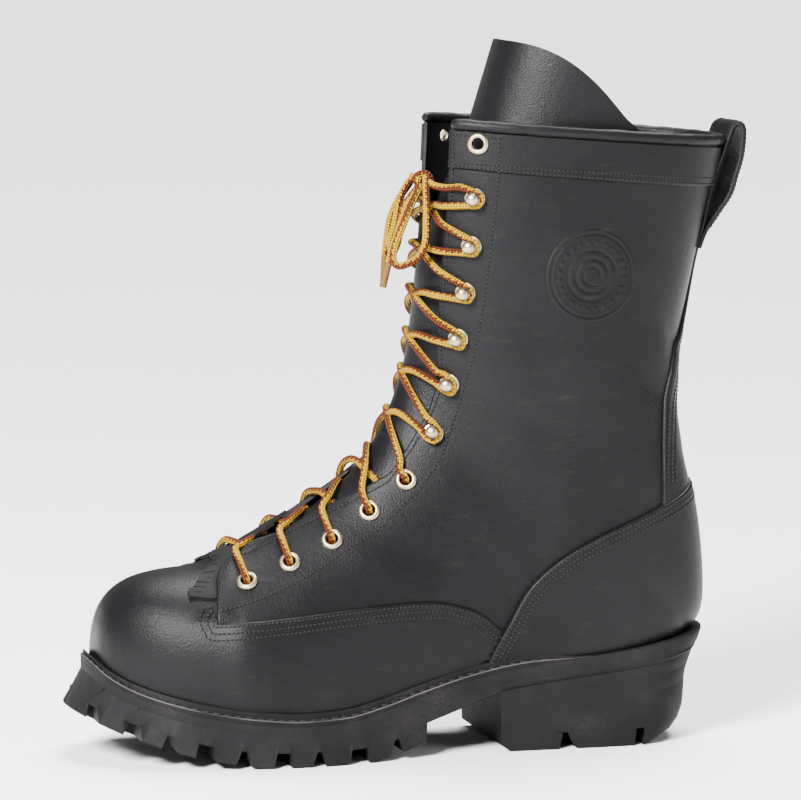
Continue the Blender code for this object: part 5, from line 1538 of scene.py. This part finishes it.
# Radius, share of the depth over the leather
BADGE_PROFILE = ((0.0, 0.5), (2.6, 0.5), (3.4, 0.45), (3.8, 0.02), (4.6, 0.02), (5.0, 0.5), (7.2, 0.5),
                 (7.6, 0.02), (8.4, 0.02), (8.8, 0.4), (11.2, 0.42), (11.6, 0.0), (12.4, 0.0), (12.8, 0.42),
                 (13.6, 0.42), (14.2, 0.42), (14.8, 0.42), (15.4, 0.42), (15.9, 0.42), (16.4, 0.42),
                 (17.0, 0.42), (17.6, 0.42), (18.6, 0.42), (19.2, 0.4), (19.6, 0.0), (20.4, 0.0),
                 (20.8, 0.45), (21.4, 0.42), (22.0, 0.15), (22.5, -0.2))
badge_turn = np.arange(BADGE_DOTS * 8) / (BADGE_DOTS * 8) * 2 * math.pi
badge_radius = np.array([row[0] for row in BADGE_PROFILE])[:, None]
badge_height = np.array([row[1] for row in BADGE_PROFILE])[:, None] + 0 * badge_turn
dot_turn = (badge_turn * BADGE_DOTS / (2 * math.pi)) % 1.0 - 0.5
dot_away = np.hypot(badge_radius - DOT_RING, dot_turn * 2 * math.pi / BADGE_DOTS * DOT_RING)
badge_height = badge_height + 0.5 * (1 - soft_step((dot_away - 0.5) / 0.9)) * (badge_radius > 13)
badge_x = BADGE_X + badge_radius * np.cos(badge_turn)
badge_z = BADGE_Z + badge_radius * np.sin(badge_turn)
badge_t, badge_s = side_place(badge_x, badge_z)
badge_points = on_quarter(badge_t, badge_s, badge_height * BADGE_DEPTH).reshape(-1, 3)
badge = put_mesh("shaft_badge", badge_points, ring_faces(len(BADGE_PROFILE), len(badge_turn)), [LEATHER])
hand_in(badge, "black_leather")


# Eyelets
# Pale brass eyelets, pressed through the leather and rolled over: a rounded flange with a short barrel.
# Five hold the lower lace on each side, and one more sits in the collar band.
EYELET_PROFILE = ((2.75, -2.4), (2.75, 0.9), (2.95, 1.45), (3.5, 1.75), (4.3, 1.6), (4.95, 1.05),
                  (5.15, 0.35), (5.15, 0.0), (3.1, -0.1), (3.1, -2.4))
SIDE_WORDS = {1: "outer", -1: "inner"}


def brass_finish():
    finish, tree, shader = new_finish("pale_brass", {"Metallic": 1.0})
    place = object_place(tree)
    cloud = noise(tree, place, 260.0, 4.0, 0.6)
    shade = mixed(tree, between(tree, cloud, 0.35, 0.7), (0.52, 0.43, 0.28), (0.32, 0.25, 0.15))
    tree.links.new(shade, shader.inputs["Base Color"])
    tree.links.new(between(tree, cloud, 0.3, 0.75, 0.3, 0.46), shader.inputs["Roughness"])
    set_bump(tree, shader, noise(tree, place, 900.0, 2.0), 0.00005)
    return finish


BRASS = brass_finish()


def spun(name, profile, steps):
    """A turned part, spun about the upright axis from its profile of radius and height."""
    bpy.ops.object.select_all(action="DESELECT")
    bpy.ops.mesh.primitive_plane_add(size=1.0)
    part = bpy.context.object
    part.name = name
    closed = profile[0][0] > 0
    mesh = bpy.data.meshes.new(name)
    points = [(radius * MM, 0.0, height * MM) for radius, height in profile]
    edges = [(k, k + 1) for k in range(len(points) - 1)]
    if closed:
        edges.append((len(points) - 1, 0))
    mesh.from_pydata(points, edges, [])
    part.data = mesh
    bpy.ops.object.mode_set(mode="EDIT")
    bpy.ops.mesh.select_all(action="SELECT")
    bpy.ops.mesh.spin(steps=steps, angle=2 * math.pi, center=(0, 0, 0), axis=(0, 0, 1))
    bpy.ops.mesh.select_all(action="SELECT")
    bpy.ops.mesh.remove_doubles(threshold=1e-6)
    bpy.ops.mesh.normals_make_consistent(inside=False)
    bpy.ops.object.mode_set(mode="OBJECT")
    part.data.shade_smooth()
    return part


def seat_copies(model, kind):
    """A copy of a small part on each of its places, each with its own mesh, in place of its solid."""
    model.data.materials.append(BRASS)
    numbers = {1: 0, -1: 0}
    for found, t, s in fasteners:
        if found != kind:
            continue
        side = 1 if s > 0 else -1
        numbers[side] += 1
        node = f"{kind}_{SIDE_WORDS[side]}_{numbers[side]}"
        copy = bpy.data.objects.new(node + ".brass", model.data.copy())
        bpy.context.scene.collection.objects.link(copy)
        copy.data.transform(seated(*axes_on(t, s, over_band(skin(t, s)))))
        hand_in(copy, "pale_brass", node)
    bpy.data.objects.remove(model)


seat_copies(spun("eyelet_model", EYELET_PROFILE, 40), "eyelet")


# Ball hooks
# Brass hooks riveted to the leather: a round foot, a short neck for the lace and a ball over it.
# Six stand on each side above the eyelets.
HOOK_NECK = 1.5
HOOK_PROFILE = ((0.0, 0.1), (4.7, 0.1), (5.0, 0.4), (4.9, 0.85), (4.4, 1.0), (2.4, 1.0), (1.6, 1.3),
                (HOOK_NECK, 2.0), (HOOK_NECK, 3.4), (2.1, 4.0), (3.0, 4.3), (3.35, 4.7), (3.3, 5.1),
                (3.05, 5.35), (3.0, 5.55), (3.15, 6.0), (3.2, 6.5), (3.0, 7.3), (2.5, 8.0), (1.8, 8.5),
                (0.9, 8.8), (0.0, 8.9))
seat_copies(spun("hook_model", HOOK_PROFILE, 32), "hook")


# Lace
# One round woven lace, yellow with a red-brown tracer, that runs up through the eyelets on both sides,
# crosses over the tongue and winds round the neck of each hook.
LACE_RADIUS = 1.75
LACE_SIDES = 16
LACE_STEP = 1.3
LACE_FACING = np.array((0.22, 0.96, 0.18))


def wave(tree, turns):
    """A sine wave over a number of turns."""
    return calculate(tree, "SINE", calculate(tree, "MULTIPLY", turns, 2 * math.pi))


def lace_finish():
    """A tight braid: yellow on one half and red-brown on the other, each darker in the braid's dips as
    painted shade and lighter on its strands as painted highlight; on the red-brown half the painted shade
    shows as dark slanted ticks.
    """
    finish, tree, shader = new_finish("yellow_brown_lace", {"Roughness": 0.7, "Specular IOR Level": 0.12})
    braid_map = add_node(tree, "ShaderNodeUVMap").outputs["UV"]
    split = add_node(tree, "ShaderNodeSeparateXYZ", {"Vector": braid_map})
    along = calculate(tree, "MULTIPLY", split.outputs["X"], 1 / 3.0)
    turns = calculate(tree, "MULTIPLY", split.outputs["Y"], 4.0)
    rising = wave(tree, calculate(tree, "ADD", along, turns))
    falling = wave(tree, calculate(tree, "SUBTRACT", along, turns))
    braid = calculate(tree, "MULTIPLY", rising, falling)
    sway = calculate(tree, "SINE", calculate(tree, "MULTIPLY", split.outputs["X"], 0.16))
    twist = calculate(tree, "ADD", split.outputs["Y"], calculate(tree, "MULTIPLY", sway, 0.07))
    ragged = calculate(tree, "ADD", wave(tree, twist), calculate(tree, "MULTIPLY", falling, 0.3))
    brown = between(tree, ragged, 0.05, 0.2)
    fuzz = noise(tree, object_place(tree), 2400.0, 3.0, 0.6)
    # Both halves follow the braid's height: painted shade in its dips, painted highlight on its strands.
    shaded_yellow = mixed(tree, between(tree, braid, -0.75, 0.35), (0.16, 0.06, 0.0), (0.37, 0.23, 0.0))
    shaded_red = mixed(tree, between(tree, braid, -0.55, 0.1), (0.01, 0.002, 0.0008), (0.095, 0.017, 0.003))
    shade = mixed(tree, brown, shaded_yellow, shaded_red)
    shade = mixed(tree, between(tree, fuzz, 0.6, 1.0), shade, (0.38, 0.25, 0.0))
    tree.links.new(shade, shader.inputs["Base Color"])
    set_bump(tree, shader, calculate(tree, "ADD", braid, calculate(tree, "MULTIPLY", fuzz, 0.5)), 0.0004)
    return finish


def tip_finish():
    finish, tree, shader = new_finish("tan_lace_tip", {"Roughness": 0.45, "Specular IOR Level": 0.2})
    cloud = noise(tree, object_place(tree), 900.0, 3.0)
    shade = mixed(tree, cloud, (0.075, 0.032, 0.006), (0.14, 0.068, 0.016))
    tree.links.new(shade, shader.inputs["Base Color"])
    return finish


LACE = lace_finish()
LACE_TIP = tip_finish()


def lace_tube(name, paths, tip=0.0):
    """A mesh of stretches of lace, mapped by length in millimetres and by turn, with a tip on its far end."""
    all_points, all_faces, all_corners, kinds = [], [], [], []
    for path in paths:
        points, faces, corners = tube_mesh(path, LACE_RADIUS, LACE_SIDES, LACE_FACING)
        start = sum(len(part) for part in all_points)
        all_points.append(points)
        all_faces += [tuple(k + start for k in face) for face in faces]
        all_corners += corners
        reach = distance_along(path)[1:]
        tipped = np.repeat((reach > reach[-1] - tip + 0.01).astype(int), LACE_SIDES).tolist()
        kinds += tipped + [0] * (len(faces) - len(tipped) - 1) + [int(tip > 0)]
    piece = put_mesh(name, np.concatenate(all_points), all_faces, [LACE, LACE_TIP], kinds, 60.0)
    layer = piece.data.uv_layers.new(name="braid")
    layer.data.foreach_set("uv", np.array(all_corners, np.float32).ravel())
    return piece


def lace_path(points):
    """A smooth path through given points, read at an even spacing."""
    line = smooth_line(points, 16)
    length = distance_along(line)
    return read_at(np.linspace(0, length[-1], max(4, round(length[-1] / LACE_STEP))), length, line)


LACE_ON_TONGUE = -3.1
LACE_OVER_EDGE = 2.3
LACE_SETBACK = 0.35


def lace_point(t, s, height, drawn=0.0):
    """A point of the lace over the upper, drawn back where the tongue leans back."""
    point = on_quarter(t, s, height)
    point[0] -= drawn * setback(point[2])
    return point


sides_of = {1: [f for f in fasteners if f[2] > 0], -1: [f for f in fasteners if f[2] < 0]}
LAST_HOOK = 10
UNDER_QUARTER = -UPPER_WALL - LACE_RADIUS - 0.5
# From an eyelet to the next one across the throat, by the side that the lace leaves: share of the way
# to the next one's section, share of the throat's edge (below 0 on the far side), height
EYELET_CROSSING = {
    1: ((0.07, 1.0, 1.9), (0.32, 0.72, 0.3), (0.58, 0.2, -2.2), (0.74, -0.5, -3.8),
        (0.9, -1.15, UNDER_QUARTER)),
    -1: ((0.08, 1.0, 1.9), (0.16, 0.5, 0.2), (0.24, -0.1, -2.0), (0.34, -0.72, -3.9),
         (0.55, -1.15, UNDER_QUARTER)),
}


def lace_run(first_side):
    """The route of one half of the lace, from the lowest eyelet up to the last hook."""
    points = []
    side = first_side
    for k in range(LAST_HOOK + 1):
        kind, t, s = sides_of[side][k]
        base, normal, along = axes_on(t, s, over_band(skin(t, s)))[:3]
        edge = side * throat_edge(t, side)
        to_throat = unit(on_quarter(t, s - side * 0.05, 0.0) - on_quarter(t, s, 0.0))
        if kind == "eyelet":
            points += [base - normal * 6.0 + to_throat * 1.0 - along * 2.0, base - normal * 2.4 - along * 0.4,
                       base + normal * 0.8, base + normal * 2.5 + to_throat * 1.9,
                       lace_point(t + 0.01, blend(s, edge, 0.55), 2.1)]
        else:
            reach = HOOK_NECK + LACE_RADIUS + 0.1
            level = base + normal * 2.75
            for aside, backward in ((-1.05, -0.7), (-0.75, 0.66), (0.0, 1.0), (0.75, 0.66), (1.05, -0.7)):
                points.append(level + along * reach * aside - to_throat * reach * backward)
        if k == LAST_HOOK:
            break
        after_kind, after_t, after_s = sides_of[-side][k + 1]
        if after_kind == "eyelet":
            for ahead, share, height in EYELET_CROSSING[side]:
                share_s = edge * share if share > 0 else side * throat_edge(after_t, -side) * share
                points.append(lace_point(t + ahead * (after_t - t), share_s, height))
        else:
            leave = t + (0.08 if kind == "eyelet" else 0.2)
            far_edge = -side * throat_edge(after_t, -side)
            crossing = ((edge, LACE_OVER_EDGE, 0.0), (edge * 0.45, LACE_ON_TONGUE, LACE_SETBACK),
                        (far_edge * 0.45, LACE_ON_TONGUE, LACE_SETBACK), (far_edge, LACE_OVER_EDGE, 0.0))
            for share_s, height, drawn in crossing:
                row = blend(leave, after_t - 0.2, (share_s - s) / (after_s - s))
                points.append(lace_point(row, share_s, height, drawn))
        side = -side
    return points


lace = lace_tube("lace_crossings", [lace_path(lace_run(1)), lace_path(lace_run(-1))])
hand_in(lace, "lace", *[f"lace_cross_{k}" for k in range(1, 11)])


# Bow
# The two ends of the lace, tied in a bow over the tongue at the last hooks: two loops and two ends.
# The ends hang free, and each is finished with a plastic tip.
KNOT_ROUTE = ((124.0, 36.8, 266.9), (129.5, 33.6, 269.0), (134.6, 25.0, 268.2), (137.6, 15.0, 268.8),
              (138.4, 5.0, 270.2), (137.6, -6.0, 270.8), (134.8, -18.0, 269.4), (129.4, -28.6, 268.0),
              (124.0, -36.4, 267.2))
LOOP_OUTER = ((139.2, 6.6, 272.4), (140.6, 13.0, 267.0), (141.9, 18.6, 259.8), (142.9, 22.0, 252.5),
              (143.7, 24.2, 245.3), (145.0, 25.4, 240.0), (148.4, 25.6, 235.0), (152.9, 24.4, 232.5),
              (156.5, 22.0, 231.4), (158.5, 20.0, 234.0), (157.3, 18.0, 240.2), (152.5, 15.0, 250.2),
              (147.2, 11.6, 260.4), (141.8, 7.0, 268.3))
LOOP_INNER = ((139.4, -3.0, 272.6), (143.2, -6.0, 270.4), (146.8, -8.0, 264.2), (149.0, -9.0, 257.0),
              (150.6, -9.0, 248.4), (152.8, -9.6, 240.4), (152.4, -6.6, 235.4), (150.6, -3.2, 240.4),
              (149.7, -2.8, 248.8), (148.0, -1.8, 257.0), (144.4, -0.8, 263.0), (140.8, 0.4, 267.4))
END_OUTER = ((140.4, 2.6, 268.2), (145.2, 2.6, 261.2), (149.6, 2.4, 252.4), (152.8, 1.8, 243.0),
             (154.8, 1.2, 236.0), (157.0, 0.8, 227.4), (158.8, 0.6, 219.6))
END_INNER = ((140.6, -12.0, 272.8), (142.6, -12.2, 268.0), (147.6, -14.0, 260.0), (150.4, -18.6, 251.0),
             (151.4, -21.8, 240.5), (152.0, -23.6, 230.0), (152.2, -24.8, 220.0))
TIP_LENGTH = 12.0


def free_lace(node, route, tip=0.0):
    """A free stretch of lace in place of its cord node."""
    path = lace_path(route)
    piece = lace_tube(node + ".lace", [path], tip)
    hand_in(piece, "lace", node)


free_lace("lace_knot", KNOT_ROUTE)
free_lace("lace_loop_outer", LOOP_OUTER)
free_lace("lace_loop_inner", LOOP_INNER)
free_lace("lace_end_outer", END_OUTER, TIP_LENGTH)
free_lace("lace_end_inner", END_INNER, TIP_LENGTH)

# The turn of lace that ties the bow, round the loops and the ends where they leave the knot
KNOT_MIDDLE = np.array((139.4, 3.0, 270.0))
KNOT_TURN = 3.6
wrap_turn = np.linspace(0, 2 * math.pi + 0.8, 30)
wrap_across = 0.6 * wrap_turn - 2.0
wrap_away = np.stack((KNOT_TURN * np.cos(wrap_turn), wrap_across, KNOT_TURN * np.sin(wrap_turn)), axis=1)
hand_in(lace_tube("lace_knot_turn", [KNOT_MIDDLE + wrap_away]), "lace")


# Studio
# A pale floor, large soft lights and the camera that looks at the outer side from a little above.
# None of it belongs to the boot.
bpy.ops.object.select_all(action="DESELECT")
bpy.ops.mesh.primitive_plane_add(size=120.0)
floor = bpy.context.object
floor.name = "studio_floor"
FLOOR_VALUES = {"Roughness": 0.9, "Specular IOR Level": 0.1}
floor_finish, floor_tree, floor_shader = new_finish("studio_floor", FLOOR_VALUES)
floor_cloud = noise(floor_tree, object_place(floor_tree), 3.0)
floor_shade = mixed(floor_tree, floor_cloud, (0.86, 0.86, 0.86), (0.9, 0.9, 0.9))
floor_tree.links.new(floor_shade, floor_shader.inputs["Base Color"])
floor.data.materials.append(floor_finish)

CAMERA_YAW = math.radians(14.0)
CAMERA_PITCH = math.radians(6.53)
CAMERA_AWAY = 2400.0
CAMERA_HEIGHT = 440.0
CAMERA_AIM_X = 150.0
PHOTO_WIDTH = 801
FOCAL_PIXELS = 5060
SENSOR_WIDTH = 36.0
level_ahead = Vector((-math.sin(CAMERA_YAW), -math.cos(CAMERA_YAW), 0.0))
right = Vector((-math.cos(CAMERA_YAW), math.sin(CAMERA_YAW), 0.0))
ahead = level_ahead * math.cos(CAMERA_PITCH) - Vector((0.0, 0.0, math.sin(CAMERA_PITCH)))
upward = right.cross(ahead)
camera = bpy.data.objects.new("camera", bpy.data.cameras.new("camera"))
bpy.context.scene.collection.objects.link(camera)
camera_matrix = Matrix((right, upward, -ahead)).transposed().to_4x4()
camera_point = np.array((CAMERA_AIM_X, 0.0, 0.0)) - np.array(level_ahead) * CAMERA_AWAY
camera_point = camera_point + np.array((0.0, 0.0, CAMERA_HEIGHT))
camera_matrix.translation = Vector((camera_point - LAST_ORIGIN) * MM)
camera.matrix_world = camera_matrix
camera.data.lens = FOCAL_PIXELS * SENSOR_WIDTH / PHOTO_WIDTH
camera.data.sensor_width = SENSOR_WIDTH
camera.data.clip_end = 100.0
bpy.context.scene.camera = camera

LIT_POINT = Vector((0.0, 0.0, 0.13))
# Lights: name, place, size, power
LIGHTS = (
    ("key", (1.35, 1.5, 1.45), 0.7, 300.0),
    ("fill", (-1.7, 1.5, 0.9), 1.2, 16.0),
)
for name, light_place, size, power in LIGHTS:
    lamp = bpy.data.lights.new(name, "AREA")
    lamp.size = size
    lamp.energy = power
    light = bpy.data.objects.new(name, lamp)
    light.location = light_place
    towards = LIT_POINT - Vector(light_place)
    light.rotation_euler = towards.to_track_quat("-Z", "Y").to_euler()
    bpy.context.scene.collection.objects.link(light)

# One wide overhead light, a little from behind, keeps the floor pale as far as the camera sees it
overhead = bpy.data.lights.new("overhead", "SUN")
overhead.energy = 9.0
overhead.angle = math.radians(40.0)
overhead_light = bpy.data.objects.new("overhead", overhead)
overhead_light.rotation_euler = Vector((0.25, 0.35, -1.0)).to_track_quat("-Z", "Y").to_euler()
bpy.context.scene.collection.objects.link(overhead_light)

world = bpy.data.worlds.new("studio")
world.use_nodes = True
world.node_tree.nodes["Background"].inputs["Color"].default_value = (1.0, 1.0, 1.0, 1.0)
world.node_tree.nodes["Background"].inputs["Strength"].default_value = 0.27
bpy.context.scene.world = world
